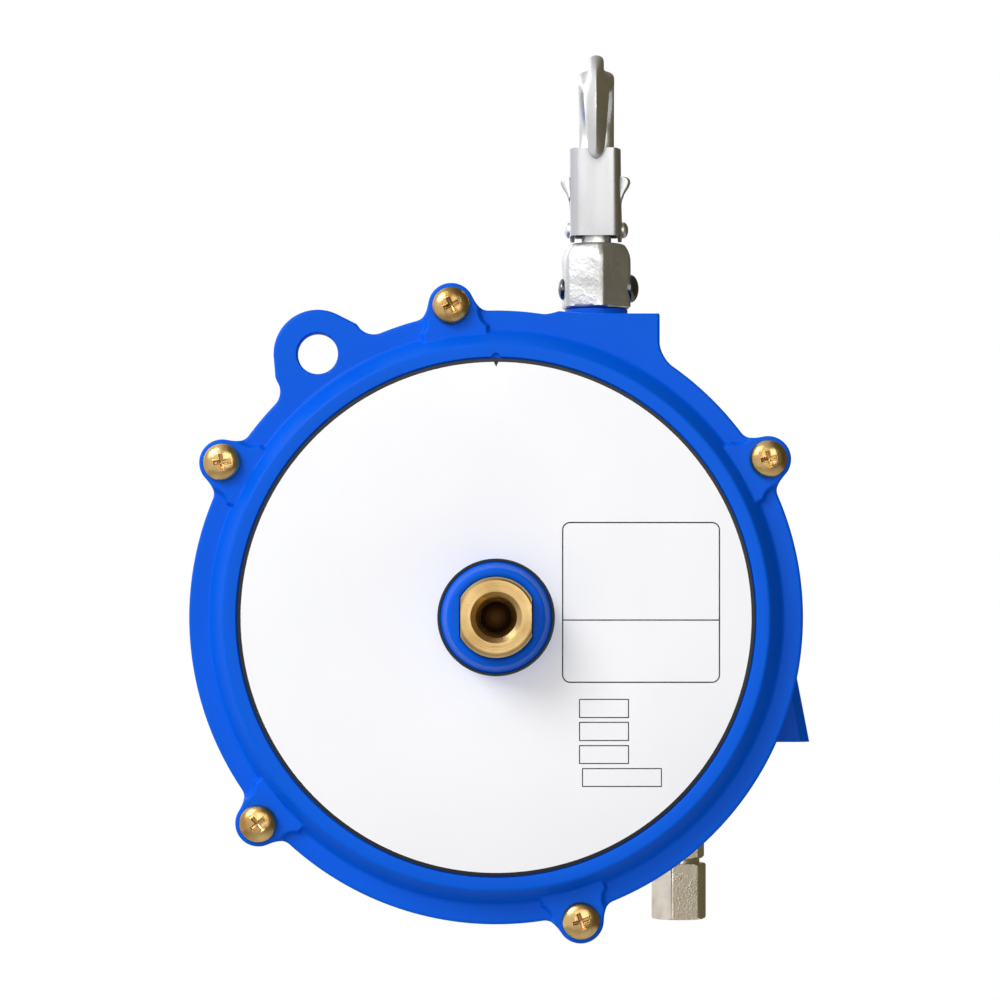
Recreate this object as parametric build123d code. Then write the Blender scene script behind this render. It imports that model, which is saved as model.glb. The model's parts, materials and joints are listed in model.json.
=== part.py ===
from build123d import *
import math
import os

# A hose balancer: a cast housing hung from a snap hook, with a spring-driven hose drum inside.
# Everything is drawn in drum axes: X to the right, Y from the front cover to the rear along the drum's axis,
# Z up. The wound hose sets the drum, the drum the case, and the case the flange and the hook above it.
# On export the model moves so that the hook's bowl is the origin.

# Hose and its path on the drum
HOSE_R = 4.0
HOSE_TURNS = 4
WRAP_FRONT_R = 62.0
WRAP_TAPER = 10.0
WRAP_REAR_R = WRAP_FRONT_R - WRAP_TAPER
TURN_GAP = 0.5
HOSE_PITCH = 2 * HOSE_R + TURN_GAP
SEGMENTS_PER_TURN = 16
HOSE_SIDES = 8
SEAT_CLEARANCE = 0.3
WINDING_ROOM = 2.0
FLANGE_ROOM = 1.0

# Shaft, by its wrench size and its inlet thread
WRENCH_FLATS = 19.0
FLAT_CUT = 1.3
SHAFT_R = WRENCH_FLATS / 2 + FLAT_CUT
FLAT_LENGTH = 6.5
SHAFT_PROUD = 7.0
SHAFT_EDGE = 1.0
SHAFT_COLLAR = 1.7
SHAFT_COLLAR_THICKNESS = 2.0
JOURNAL_R = 8.0
SPINDLE_R = JOURNAL_R - 1.5
INLET_R = 5.72
INLET_MOUTH_R = INLET_R + 1.18
INLET_MOUTH_DEPTH = 1.2
INLET_DEPTH = 13.0
AIR_BORE_R = 4.4
RUNNING_CLEARANCE = 0.05
BUSH_WALL = 2.0
BUSH_LENGTH = 4.0
SEAL_SPACING = 3.8
SEAL_WIDTH = 1.9
SEAL_GROOVE_DEPTH = 1.5
PORT_R = 2.0
SET_SCREW_R = 2.5
SET_SCREW_DEPTH = 1.5

# Front cover round the shaft, and its joint with the case; Y = 0 is the cover's front land
RECESS_DEPTH = 1.0
COVER_WALL = 3.5
COVER_EDGE = 0.6
BOSS_PROUD = 8.0
BOSS_EDGE = 0.8
BOSS_TOP_R = SHAFT_R + 2.4
BOSS_BASE_R = BOSS_TOP_R + 1.8
HUB_R = SHAFT_R + 6.2
HUB_FILLET = 2.0
HUB_END_Y = 13.0
FLANGE_FRONT_Y = 7.0
PARTING_Y = 13.0
SPIGOT_WALL = 2.4
SPIGOT_DEPTH = 2.5
SPIGOT_SEAT = 2.0
SPIGOT_CLEARANCE = 0.1
NOTCH_R = 1.05

# Drum and its spring chamber
DRUM_SHELL = 3.0
DRUM_FRONT_Y = HUB_END_Y + SHAFT_COLLAR_THICKNESS + 2.0
DRUM_HUB_LEAD = 1.5
DRUM_FLANGE_THICKNESS = 2.5
DRUM_FRONT_FLANGE_R = WRAP_FRONT_R + HOSE_R + 2.5
DRUM_REAR_FLANGE_R = WRAP_REAR_R + HOSE_R + 2.0
DRUM_HUB_R = JOURNAL_R + BUSH_WALL + 4.5
PORT_Y = DRUM_FRONT_Y + DRUM_FLANGE_THICKNESS + HOSE_R + TURN_GAP
WEB_FRONT_Y = 40.0
WEB_THICKNESS = 4.0
WEB_FILLET = 2.0
CHAMBER_WALL = 3.5
CHAMBER_R = WRAP_REAR_R - HOSE_R - CHAMBER_WALL - 1.0
CHAMBER_DEPTH = 34.0
CHAMBER_SCREW_R = 1.0
CHAMBER_SCREW_HEAD_R = 1.7
CHAMBER_SCREW_HEAD = 1.2
CHAMBER_SCREW_LENGTH = 7.0
SPRING_COVER_THICKNESS = 2.0
SCREWS_ON_CHAMBER = 3
DRUM_REAR_Y = WEB_FRONT_Y + WEB_THICKNESS + CHAMBER_DEPTH
SPINDLE_END_Y = DRUM_REAR_Y - 1.0
NIPPLE_R = 3.2
NIPPLE_THREAD = 2.5
NIPPLE_FLATS = 9.0
NIPPLE_HEX = 4.0
BARB_R = 3.0
BARB_BORE_R = 1.5
LEAD_LENGTH = 7.5

# Case round the drum
CASE_WALL = 3.0
DRUM_ROOM = 4.5
CASE_FRONT_R = DRUM_FRONT_FLANGE_R + DRUM_ROOM + CASE_WALL
CASE_STEP = 0.7
CASE_DRAFT = 0.5
CASE_FLANGE_REAR_Y = PARTING_Y + 6.0
CASE_CONE_Y = CASE_FLANGE_REAR_Y + 7.0
REAR_ROOM = 3.5
REAR_WALL_ROOM = 5.0
CASE_REAR_Y = DRUM_REAR_Y + SPRING_COVER_THICKNESS + REAR_WALL_ROOM + CASE_WALL
CASE_REAR_FILLET = 5.0
CASE_REAR_BEVEL = 6.5

# Flange, ears, screws, lug and hook platform round the case
SLOPE_R = CASE_FRONT_R + SPIGOT_SEAT
LAND_R = SLOPE_R - 4.0
RECESS_R = LAND_R - 3.7
FLANGE_R = SLOPE_R + 5.5
SCREW_ANGLES = (30.2, 98.2, 150.5, 220.9, 285.6)
EAR_PROUD = 1.9
SCREW_RING_R = FLANGE_R + EAR_PROUD
EAR_R = 6.3
EAR_ROOT_FILLET = 4.0
EAR_BOSS_WALL = 1.0
PAD_PROUD = 2.0
PAD_LENGTH = 18.0
PAD_SHIFT = 1.0
PAD_HALF_WIDTH = 8.5
PAD_SCOOP_R = 5.0
PAD_SCOOP_BACK = 3.0
PAD_SCOOP_CLEAR = 6.8
PAD_EDGE = 0.8
SCREW_R = 2.5
SCREW_HEAD_R = 5.1
SCREW_HEAD_HEIGHT = 3.3
SCREW_LENGTH = 16.0
SCREW_HOLE_CLEARANCE = 0.2
LUG_ANGLE = 124.1
LUG_PROUD = 3.1
LUG_REACH_R = FLANGE_R + LUG_PROUD
LUG_R = 12.0
LUG_HALF_WIDTH = LUG_R + 1.35
LUG_STEP = 0.7
LUG_HOLE_R = 5.5
LUG_HOLE_ROOM = 1.5
PLATFORM_LEFT = 15.9
PLATFORM_RIGHT = 44.5
PLATFORM_DROP = 0.8
PLATFORM_TOP = FLANGE_R - PLATFORM_DROP
PLATFORM_CORNER = 1.3
PLATFORM_ROOT = 9.0

# Name plate
PLATE_THICKNESS = 0.6
PLATE_GAP = 0.3
PLATE_HOLE_R = BOSS_BASE_R + 0.85

# Spring and arbor
SPRING_THICKNESS = 0.7
SPRING_TURNS = 6
SPRING_POINTS = 20
SPRING_GAP = 0.4
ARBOR_GAP = 0.4
ARBOR_R = SPINDLE_R + 4.0
ARBOR_FLANGE_R = ARBOR_R + 2.5
ARBOR_FLANGE_THICKNESS = 1.6
ARBOR_JOURNAL_R = ARBOR_R - 1.0
WHEEL_SEAT_R = ARBOR_JOURNAL_R - 2.5
ARBOR_BUSH_WALL = 2.5
ARBOR_BUSH_LEAD = 2.0
KEY_WIDTH = 3.0
KEY_HEIGHT = 3.0
SPRING_SLOT = 1.4
CLIP_THICKNESS = 1.0
CLIP_R = WHEEL_SEAT_R + 2.0
CLIP_GROOVE = 1.0
CLIP_OPENING = 4.0
ARBOR_END = 1.2
ARBOR_BEVEL = 0.6

# Worm drive in the rear gearbox
MODULE = 1.0
WHEEL_TEETH = 30
WHEEL_WIDTH = 8.0
WORM_PITCH_R = 5.0
WORM_THREAD_LENGTH = 13.0
WORM_TURNS = 3
WORM_JOURNAL_R = 3.5
WORM_BORE_R = WORM_PITCH_R + MODULE + 0.5
BACKLASH = 0.3
PRESSURE_ANGLE = 20.0
WHEEL_PITCH_R = WHEEL_TEETH * MODULE / 2
WHEEL_ROOM_R = WHEEL_PITCH_R + MODULE + 0.6
CENTRE_DISTANCE = WHEEL_PITCH_R + WORM_PITCH_R
GEARBOX_FLOOR_Y = CASE_REAR_Y + 2.0
WHEEL_Y = GEARBOX_FLOOR_Y + WORM_BORE_R + 0.5
GEARBOX_REAR_Y = WHEEL_Y + WORM_BORE_R + 2.5
GEAR_COVER_THICKNESS = 4.0
GEARBOX_WALL = 3.0
GEARBOX_HALF_WIDTH = WHEEL_ROOM_R + 6.9
GEARBOX_TOP = WHEEL_ROOM_R + 2.9
GEARBOX_LOW = -CENTRE_DISTANCE - WORM_BORE_R - GEARBOX_WALL - 0.2
GEARBOX_CORNER_R = 5.0
WORM_BUSH_LENGTH = 6.0
WORM_END_WALL = 2.0
HEX_KEY_FLATS = 4.0
HEX_KEY_DEPTH = 6.0
GEAR_SCREW_INSET = 4.2
GEAR_SCREW_R = 1.5
GEAR_SCREW_HEAD_R = 2.8
GEAR_SCREW_HEAD = 2.0
GEAR_SCREW_LENGTH = 11.0
GEAR_SCREW_SHRINK = 0.1

# Hose end below the outlet
OUTLET_Z = -34.7
THROAT_DEPTH = 13.3
THROAT_Z = OUTLET_Z - THROAT_DEPTH
END_GAP = 0.2
STOPPER_R = 12.8
STOPPER_ROOM = 1.2
STOPPER_HEIGHT = 11.0
STOPPER_BEVEL = 2.5
STOPPER_TOP_Z = THROAT_Z - SEAT_CLEARANCE
STOPPER_BOTTOM_Z = STOPPER_TOP_Z - STOPPER_HEIGHT
NUT_FLATS = 13.0
NUT_BEVEL = 1.0
NUT_HEIGHT = 10.5
NUT_WAIST = 1.4
NUT_BOTTOM_Z = STOPPER_BOTTOM_Z - NUT_HEIGHT
FITTING_FLATS = 14.0
FITTING_BEVEL = 1.2
FITTING_HEIGHT = 15.9
FITTING_BOTTOM_Z = NUT_BOTTOM_Z - FITTING_HEIGHT
FITTING_TURN = 13.0
FITTING_BORE_R = 2.0
HOSE_WALL = 1.0
OUTLET_THREAD_R = 4.3
OUTLET_THREAD_DEPTH = 9.0
OUTLET_MOUTH = 0.6

# Snout round the hose, measured from the hose's line, and its nylon guide
POCKET_R = STOPPER_R + STOPPER_ROOM
SNOUT_LEFT = WRAP_REAR_R - POCKET_R
THROAT_RIGHT = WRAP_REAR_R + POCKET_R + 2.0
SNOUT_RIGHT = WRAP_REAR_R + 35.4
SNOUT_KNEE_X = WRAP_REAR_R + 31.2
SNOUT_KNEE_Z = OUTLET_Z + 21.7
SNOUT_TOP_X = WRAP_REAR_R + 8.0
SNOUT_TOP_Z = OUTLET_Z + 62.7
SNOUT_FORWARD = 25.0
SNOUT_WALL = 3.0
SNOUT_EDGE = 2.6
GUIDE_HEIGHT = 11.0
GUIDE_GAP = 0.1
GUIDE_BORE_R = HOSE_R + 0.6
GUIDE_FLARE_R = 4.0

# Hook and swivel, upwards from the hook boss
HOOK_X = 28.2
HOOK_Y = 45.0
HOOK_TURN = -8.0
HOOK_BOSS_R = 8.8
HOOK_BOSS_PROUD = 3.8
HOOK_BOSS_SPREAD = 5.0
HOOK_BOSS_SHOULDER = 13.5
HOOK_BOSS_SLOPE = 9.5
HOOK_BOSS_NECK = 6.5
HOOK_BOSS_ROOT = 36.5
BOSS_TOP_Z = PLATFORM_TOP + HOOK_BOSS_PROUD
STUD_R = 5.0
STUD_THREAD_R = STUD_R - 1.0
STUD_BUSH_WALL = 1.5
STUD_BUSH_LENGTH = 16.5
STUD_NUT_FLATS = 13.0
STUD_NUT_HEIGHT = 6.0
STUD_NUT_ROOM = 2.2
STUD_WASHER_THICKNESS = 1.5
STUD_SEAT_Z = BOSS_TOP_Z - STUD_BUSH_LENGTH
SOCKET_GAP = 0.3
SOCKET_FLATS = 18.3
SOCKET_HEIGHT = 18.3
SOCKET_TOP_Z = BOSS_TOP_Z + SOCKET_GAP + SOCKET_HEIGHT
SOCKET_SHOULDER = 6.5
SOCKET_EDGE = 0.3
SOCKET_CROWN = 0.5
SOCKET_CROWN_R = 7.0
PIN_Z = BOSS_TOP_Z + 5.9
PIN_R = 2.0
PIN_CLEARANCE = 0.02
PIN_LEFT_HEAD_R = 3.0
PIN_RIGHT_HEAD_R = 3.9
PIN_HEAD_LEFT = 1.6
PIN_HEAD_RIGHT = 2.8
STUD_TOP_Z = PIN_Z + 6.8
BOWL_R = 12.0
RIB_R = BOWL_R + 9.5
BEAD_R = BOWL_R + 5.0
RIB_WIDTH = 4.6
TIP_WIDTH = RIB_WIDTH + 2.0
BEAD_WIDTH = 10.1
SHANK_WIDTH = 8.4
NECK_HALF = 5.8
NECK_HEIGHT = 9.0
NECK_SUNK = 3.0
TIP_ANGLE = -25.0
TIP_START_ANGLE = 40.0
NECK_ANGLE = 215.0
BOWL_Z = SOCKET_TOP_Z + BOWL_R + 19.4
RIVET_Z = SOCKET_TOP_Z + 3.8
RIVET_R = 1.4
RIVET_HEAD_R = 2.25
LATCH_SHEET = 1.0
LATCH_WIDTH = SHANK_WIDTH + 2 * LATCH_SHEET + 3.9
RIVET_LENGTH = LATCH_WIDTH + 3.7
LATCH_TOP_Z = BOWL_Z - 5.5
LATCH_BOTTOM_Z = SOCKET_TOP_Z + 1.8
LATCH_EYE = 2.6
LATCH_FOOT = NECK_HALF + LATCH_SHEET + 0.8
LATCH_HEAD = BOWL_R - 1.4
TAB_PROUD = 2.65
TAB_FORWARD = 8.5
TAB_DEPTH = 4.0
TAB_LOW = 5.6
TAB_HIGH = 14.5
LATCH_WIRE_R = 0.4


def turned(*points):
    """A solid of revolution about the drum's axis from (radius, Y) points."""
    return revolve(make_face(Polyline(*points, close=True)), Axis.Y)


def ring(inner, outer, y0, y1):
    """A plain ring or disc about the drum's axis."""
    return turned((inner, y0), (outer, y0), (outer, y1), (inner, y1))


def prism(outline, y0, y1):
    """A flat outline drawn in X and Z, extruded along Y from y0 to y1."""
    plane = Plane(origin=(0, y0, 0), x_dir=(1, 0, 0), z_dir=(0, -1, 0))
    return extrude(plane * outline, amount=y1 - y0, dir=(0, 1, 0))


def upright(outline, x, y, z0, z1):
    """A flat outline drawn in X and Y, extruded upwards at (x, y) from z0 to z1."""
    return extrude(Pos(x, y, z0) * outline, amount=z1 - z0)


def rod_y(radius, x, z, y0, y1):
    """A round bar along Y at (x, z)."""
    return prism(Pos(x, z) * Circle(radius), y0, y1)


def rod_x(radius, y, z, x0, x1):
    """A round bar along X at (y, z)."""
    return Pos(x0, y, z) * extrude(Plane.YZ * Circle(radius), amount=x1 - x0)


def polar(radius, angle):
    """X and Z of a point on the cover, its angle from +X towards +Z."""
    turn = math.radians(angle)
    return radius * math.cos(turn), radius * math.sin(turn)


def hexagon(flats):
    """A hexagon by its size across flats, with corners on its local X axis."""
    return RegularPolygon(flats / math.sqrt(3), 6)


def one(shape):
    """The single solid that a chain of cuts and joins leaves."""
    return shape.solids()[0]


# Outline of the flange joint

def lug_outline():
    """The safety lug: a round end on flaring flanks with a short straight step at their foot."""
    reach = math.hypot(LUG_HALF_WIDTH, LUG_STEP)
    tangent = math.acos(LUG_R / reach) + math.atan2(LUG_STEP, LUG_HALF_WIDTH)
    tx = LUG_R * math.cos(tangent)
    ty = LUG_R * math.sin(tangent)
    half = LUG_HALF_WIDTH
    foot = -LUG_R
    flanks = make_face(
        Polyline((-half, foot), (-half, LUG_STEP), (-tx, ty), (tx, ty), (half, LUG_STEP), (half, foot),
                 close=True)
    )
    x, z = polar(LUG_REACH_R, LUG_ANGLE)
    return Pos(x, z) * Rot(0, 0, LUG_ANGLE - 90) * (Circle(LUG_R) + flanks)


def platform_outline():
    """The flat-topped block that fills the flange below the hook."""
    top = PLATFORM_TOP
    return make_face(
        Polyline(
            (PLATFORM_LEFT, top - PLATFORM_ROOT),
            (PLATFORM_LEFT, top - PLATFORM_CORNER),
            (PLATFORM_LEFT + PLATFORM_CORNER, top),
            (PLATFORM_RIGHT, top),
            (PLATFORM_RIGHT, top - 2 * PLATFORM_ROOT),
            close=True,
        )
    )


def flange_outline(with_lug):
    """The flange circle with its ears, hook platform and, on the cover, the safety lug."""
    outline = Circle(FLANGE_R) + platform_outline()
    for angle in SCREW_ANGLES:
        x, z = polar(SCREW_RING_R, angle)
        outline += Pos(x, z) * Circle(EAR_R)
    if with_lug:
        outline += lug_outline()
    roots = [v for v in outline.vertices() if abs(math.hypot(v.X, v.Y) - FLANGE_R) < 0.02 and abs(v.Y) > 0.02]
    roots = [v for v in roots if v.Y < 0 or abs(v.X - PLATFORM_LEFT) > 2 * PLATFORM_CORNER]
    return fillet(roots, EAR_ROOT_FILLET)


def screw_pad(angle):
    """A raised pad under a screw head, scooped by an arc on each side."""
    x, z = polar(SCREW_RING_R, angle)
    pad = Pos(-PAD_SHIFT, 0) * Rectangle(PAD_LENGTH, 2 * PAD_HALF_WIDTH)
    for side in (-1, 1):
        pad -= Pos(-PAD_SCOOP_BACK, side * (PAD_SCOOP_CLEAR + PAD_SCOOP_R)) * Circle(PAD_SCOOP_R)
    return Pos(x, z) * Rot(0, 0, angle) * pad


# Housing

def front_cover():
    """The die-cast cover: dished front, shaft boss, five ears, lug and hook platform."""
    bore = SHAFT_R + RUNNING_CLEARANCE
    inner_y = RECESS_DEPTH + COVER_WALL
    spigot_r = CASE_FRONT_R - CASE_WALL + SPIGOT_SEAT - SPIGOT_CLEARANCE
    dish = turned(
        (bore, -BOSS_PROUD),
        (BOSS_TOP_R - BOSS_EDGE, -BOSS_PROUD),
        (BOSS_TOP_R, -BOSS_PROUD + BOSS_EDGE),
        (BOSS_BASE_R, RECESS_DEPTH),
        (RECESS_R, RECESS_DEPTH),
        (RECESS_R, 0),
        (LAND_R, 0),
        (SLOPE_R, FLANGE_FRONT_Y),
        (SLOPE_R, PARTING_Y),
        (spigot_r, PARTING_Y),
        (spigot_r, PARTING_Y + SPIGOT_DEPTH),
        (spigot_r - SPIGOT_WALL, PARTING_Y + SPIGOT_DEPTH),
        (spigot_r - SPIGOT_WALL, FLANGE_FRONT_Y + 1.5),
        (LAND_R - COVER_WALL, inner_y),
        (HUB_R + HUB_FILLET, inner_y),
        (HUB_R, inner_y + HUB_FILLET),
        (HUB_R, HUB_END_Y),
        (bore, HUB_END_Y),
    )
    outline = flange_outline(True)
    hollow = ring(0, spigot_r - SPIGOT_WALL / 2, FLANGE_FRONT_Y - 1, PARTING_Y + 1)
    rim = prism(outline, FLANGE_FRONT_Y, PARTING_Y) - hollow
    rim = chamfer(rim.faces().sort_by(Axis.Y)[0].outer_wire().edges(), COVER_EDGE)
    body = dish + rim
    reach = prism(Circle(2 * FLANGE_R) - Circle(LAND_R + PAD_EDGE), -1, PARTING_Y)
    for angle in SCREW_ANGLES:
        pad = prism(screw_pad(angle) & outline, FLANGE_FRONT_Y - PAD_PROUD, FLANGE_FRONT_Y + 1)
        body += pad & reach
    for angle in SCREW_ANGLES:
        x, z = polar(SCREW_RING_R, angle)
        body -= rod_y(SCREW_R + SCREW_HOLE_CLEARANCE, x, z, -1, PARTING_Y + 1)
    x, z = polar(LUG_REACH_R, LUG_ANGLE)
    body -= rod_y(LUG_HOLE_R, x, z, 0, PARTING_Y + 1)
    body -= rod_y(NOTCH_R, 0, RECESS_R, -1, RECESS_DEPTH)
    for angle in (0, 90):
        hole = SET_SCREW_R + RUNNING_CLEARANCE
        body -= Rot(0, angle, 0) * rod_x(hole, set_screw_y(), 0, SHAFT_R - 1, HUB_R + 1)
    return one(body)


def name_plate():
    """The round plate that lies in the cover's recess."""
    return ring(PLATE_HOLE_R, RECESS_R - PLATE_GAP, RECESS_DEPTH - PLATE_THICKNESS, RECESS_DEPTH)


def pan_screw(length):
    """A pan-head screw, its seat at the origin and its head towards -Y."""
    crown = SCREW_HEAD_HEIGHT
    return turned((0, -crown), (SCREW_HEAD_R * 0.6, -crown), (SCREW_HEAD_R, -crown * 0.4), (SCREW_HEAD_R, 0),
                  (SCREW_R, 0), (SCREW_R, length), (0, length))


def cover_screws():
    """The five screws that hold the cover, seated on their pads."""
    screws = []
    for angle in SCREW_ANGLES:
        x, z = polar(SCREW_RING_R, angle)
        screws.append(Pos(x, FLANGE_FRONT_Y - PAD_PROUD, z) * pan_screw(SCREW_LENGTH))
    return Compound(children=screws)


def case_radius(y):
    """The case's outer radius on its cone, which clears the drum's rear flange."""
    start = CASE_FRONT_R - CASE_DRAFT
    flange_y = run_y() + HOSE_R + TURN_GAP + DRUM_FLANGE_THICKNESS
    at_flange = DRUM_REAR_FLANGE_R + REAR_ROOM + CASE_WALL
    return start + (at_flange - start) * (y - CASE_CONE_Y) / (flange_y - CASE_CONE_Y)


def snout_outline(inset, lift):
    """The hose outlet seen from the front: a deep throat round the hose and a skirt that flares beside it."""
    left = SNOUT_LEFT + inset
    throat = THROAT_RIGHT - inset
    right = SNOUT_RIGHT - inset
    mouth = OUTLET_Z + max(lift, 0)
    low = THROAT_Z + lift
    return make_face(Polyline((left, low), (throat, low), (throat, mouth), (right, mouth),
                              (SNOUT_KNEE_X - inset, SNOUT_KNEE_Z), (SNOUT_TOP_X, SNOUT_TOP_Z - inset),
                              (left, SNOUT_TOP_Z - inset), close=True))


def snout_front():
    """The snout's front face, forward of the hose's line."""
    return run_y() - SNOUT_FORWARD


def snout_rear():
    """The snout's rear face, a wall behind the stopper's pocket."""
    return run_y() + POCKET_R + CASE_WALL


def snout_body():
    """The outlet's outer block, with its two front and rear edges bevelled."""
    block = prism(snout_outline(0, 0), snout_front(), snout_rear())
    edges = [
        e for e in block.edges()
        if (e @ 0.5).X > (SNOUT_KNEE_X + THROAT_RIGHT) / 2 and abs((e @ 0).Y - (e @ 1).Y) < 0.01
        and min((e @ 0).X, (e @ 1).X) > SNOUT_KNEE_X - 0.01
    ]
    return chamfer(edges, SNOUT_EDGE)


def stopper_pocket(wall, roof):
    """The round pocket below the throat that the stopper comes up into, or the same with a wall round it."""
    return upright(Circle(POCKET_R + wall), WRAP_REAR_R, run_y(), THROAT_Z - WRAP_REAR_R, THROAT_Z + roof)


def gearbox_outline(inset):
    """The gearbox seen from behind: a rounded block round the wheel and the worm below it."""
    height = GEARBOX_TOP - GEARBOX_LOW - 2 * inset
    width = 2 * (GEARBOX_HALF_WIDTH - inset)
    corner = GEARBOX_CORNER_R - inset * 0.6
    return Pos(0, (GEARBOX_TOP + GEARBOX_LOW) / 2) * RectangleRounded(width, height, corner)


def rear_case():
    """The cast case: cone, ears, hook boss, hose snout and gearbox in one casting."""
    inner_front = CASE_FRONT_R - CASE_WALL
    wall_front_y = CASE_REAR_Y - CASE_WALL
    bush_r = ARBOR_JOURNAL_R + ARBOR_BUSH_WALL
    rear_r = case_radius(CASE_REAR_Y)
    step_y = (PARTING_Y + CASE_FLANGE_REAR_Y) / 2
    shell = turned(
        (0, CASE_REAR_Y),
        (0, step_y),
        (CASE_FRONT_R + CASE_STEP, step_y),
        (CASE_FRONT_R + CASE_STEP, CASE_FLANGE_REAR_Y),
        (CASE_FRONT_R - CASE_DRAFT, CASE_CONE_Y),
        (case_radius(CASE_REAR_Y - CASE_REAR_FILLET), CASE_REAR_Y - CASE_REAR_FILLET),
        (rear_r - CASE_REAR_BEVEL * 0.52, CASE_REAR_Y - CASE_REAR_FILLET * 0.24),
        (rear_r - CASE_REAR_BEVEL, CASE_REAR_Y),
    )
    rim = prism(flange_outline(False), PARTING_Y, CASE_FLANGE_REAR_Y)
    rim = chamfer(rim.faces().sort_by(Axis.Y)[-1].outer_wire().edges(), COVER_EDGE)
    body = shell + rim
    for angle in SCREW_ANGLES:
        x, z = polar(SCREW_RING_R, angle)
        body += rod_y(EAR_R - EAR_BOSS_WALL, x, z, CASE_FLANGE_REAR_Y - 1, screw_depth() + 3 * EAR_BOSS_WALL)
    x, z = polar(LUG_REACH_R, LUG_ANGLE)
    body -= rod_y(LUG_HOLE_R + LUG_HOLE_ROOM, x, z, PARTING_Y - 1, CASE_FLANGE_REAR_Y + 1)
    body += snout_body()
    spread = Circle(HOOK_BOSS_R + HOOK_BOSS_SPREAD)
    shoulder = BOSS_TOP_Z - HOOK_BOSS_SHOULDER
    body += upright(spread, HOOK_X, HOOK_Y, BOSS_TOP_Z - HOOK_BOSS_ROOT, shoulder)
    body += Pos(HOOK_X, HOOK_Y, shoulder) * extrude(spread, amount=HOOK_BOSS_SLOPE, taper=25)
    body += upright(Circle(HOOK_BOSS_R), HOOK_X, HOOK_Y, BOSS_TOP_Z - HOOK_BOSS_NECK, BOSS_TOP_Z)
    body += prism(gearbox_outline(0), CASE_REAR_Y - CASE_WALL - 1, GEARBOX_REAR_Y)
    body -= turned(
        (0, wall_front_y),
        (0, PARTING_Y - 1),
        (inner_front + SPIGOT_SEAT, PARTING_Y - 1),
        (inner_front + SPIGOT_SEAT, PARTING_Y + SPIGOT_DEPTH + SEAT_CLEARANCE),
        (inner_front, PARTING_Y + SPIGOT_DEPTH + SEAT_CLEARANCE),
        (inner_front - CASE_DRAFT, CASE_CONE_Y),
        (case_radius(wall_front_y - CASE_REAR_FILLET + 1) - CASE_WALL, wall_front_y - CASE_REAR_FILLET + 1),
        (rear_r - CASE_WALL - CASE_REAR_FILLET + 1, wall_front_y),
    )
    body += ring(0, bush_r + CASE_WALL, wall_front_y - ARBOR_BUSH_LEAD, CASE_REAR_Y)
    body += (stopper_pocket(CASE_WALL, CASE_WALL) & shell) - winding_space()
    body -= stopper_pocket(0, 0)
    body -= prism(snout_outline(SNOUT_WALL, -1), snout_front() + SNOUT_WALL, snout_rear() - SNOUT_WALL)
    body -= rod_y(bush_r, 0, 0, wall_front_y - 3, GEARBOX_FLOOR_Y + 1)
    body -= prism(gearbox_pocket(), GEARBOX_FLOOR_Y, GEARBOX_REAR_Y + 1)
    body -= worm_bore()
    thread_low = GEARBOX_REAR_Y + GEAR_COVER_THICKNESS - GEAR_SCREW_LENGTH
    for x, z in gear_screw_places():
        body -= rod_y(GEAR_SCREW_R + GEAR_SCREW_SHRINK, x, z, thread_low - 2, GEARBOX_REAR_Y + 1)
    stud_bore = STUD_R + RUNNING_CLEARANCE + STUD_BUSH_WALL
    nut_room = STUD_NUT_FLATS / 2 + STUD_NUT_ROOM
    body -= upright(Circle(stud_bore), HOOK_X, HOOK_Y, STUD_SEAT_Z - STUD_NUT_HEIGHT, BOSS_TOP_Z + 1)
    body -= upright(Circle(nut_room), HOOK_X, HOOK_Y, STUD_SEAT_Z - 3 * STUD_NUT_HEIGHT, STUD_SEAT_Z)
    for angle in SCREW_ANGLES:
        x, z = polar(SCREW_RING_R, angle)
        body -= rod_y(SCREW_R + RUNNING_CLEARANCE, x, z, PARTING_Y - 1, screw_depth())
    return one(body)


def screw_depth():
    """Where the cover screws' threaded holes end."""
    return FLANGE_FRONT_Y - PAD_PROUD + SCREW_LENGTH + 1


def gearbox_pocket():
    """The chamber for the worm wheel, open downwards into the worm's bore."""
    width = WORM_THREAD_LENGTH + 2 * GEARBOX_WALL
    return Circle(WHEEL_ROOM_R) + Pos(0, -CENTRE_DISTANCE / 2) * Rectangle(width, CENTRE_DISTANCE)


def worm_bore():
    """The cross bore that takes the worm and its two bushes, blind at its right end."""
    end = GEARBOX_HALF_WIDTH
    return rod_x(WORM_BORE_R, WHEEL_Y, -CENTRE_DISTANCE, -end - 1, end - WORM_END_WALL)


def gear_screw_places():
    """The four corners where the gear cover is screwed on."""
    box = gearbox_outline(GEAR_SCREW_INSET).bounding_box()
    low = -CENTRE_DISTANCE + WORM_BORE_R + GEAR_SCREW_INSET
    return [(x, z) for x in (box.min.X, box.max.X) for z in (low, box.max.Y)]


def gear_cover():
    """The plate that closes the gearbox."""
    plate = prism(gearbox_outline(0), GEARBOX_REAR_Y, GEARBOX_REAR_Y + GEAR_COVER_THICKNESS)
    plate = chamfer(plate.faces().sort_by(Axis.Y)[-1].outer_wire().edges(), COVER_EDGE)
    for x, z in gear_screw_places():
        hole = GEAR_SCREW_R + SCREW_HOLE_CLEARANCE
        plate -= rod_y(hole, x, z, GEARBOX_REAR_Y - 1, GEARBOX_REAR_Y + GEAR_COVER_THICKNESS + 1)
    return one(plate)


def small_screw(radius, head_r, head, length):
    """A small cylinder-head screw pointing along +Y, with its seat at the origin."""
    return turned((0, -head), (head_r, -head), (head_r, 0), (radius, 0), (radius, length), (0, length))


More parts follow.
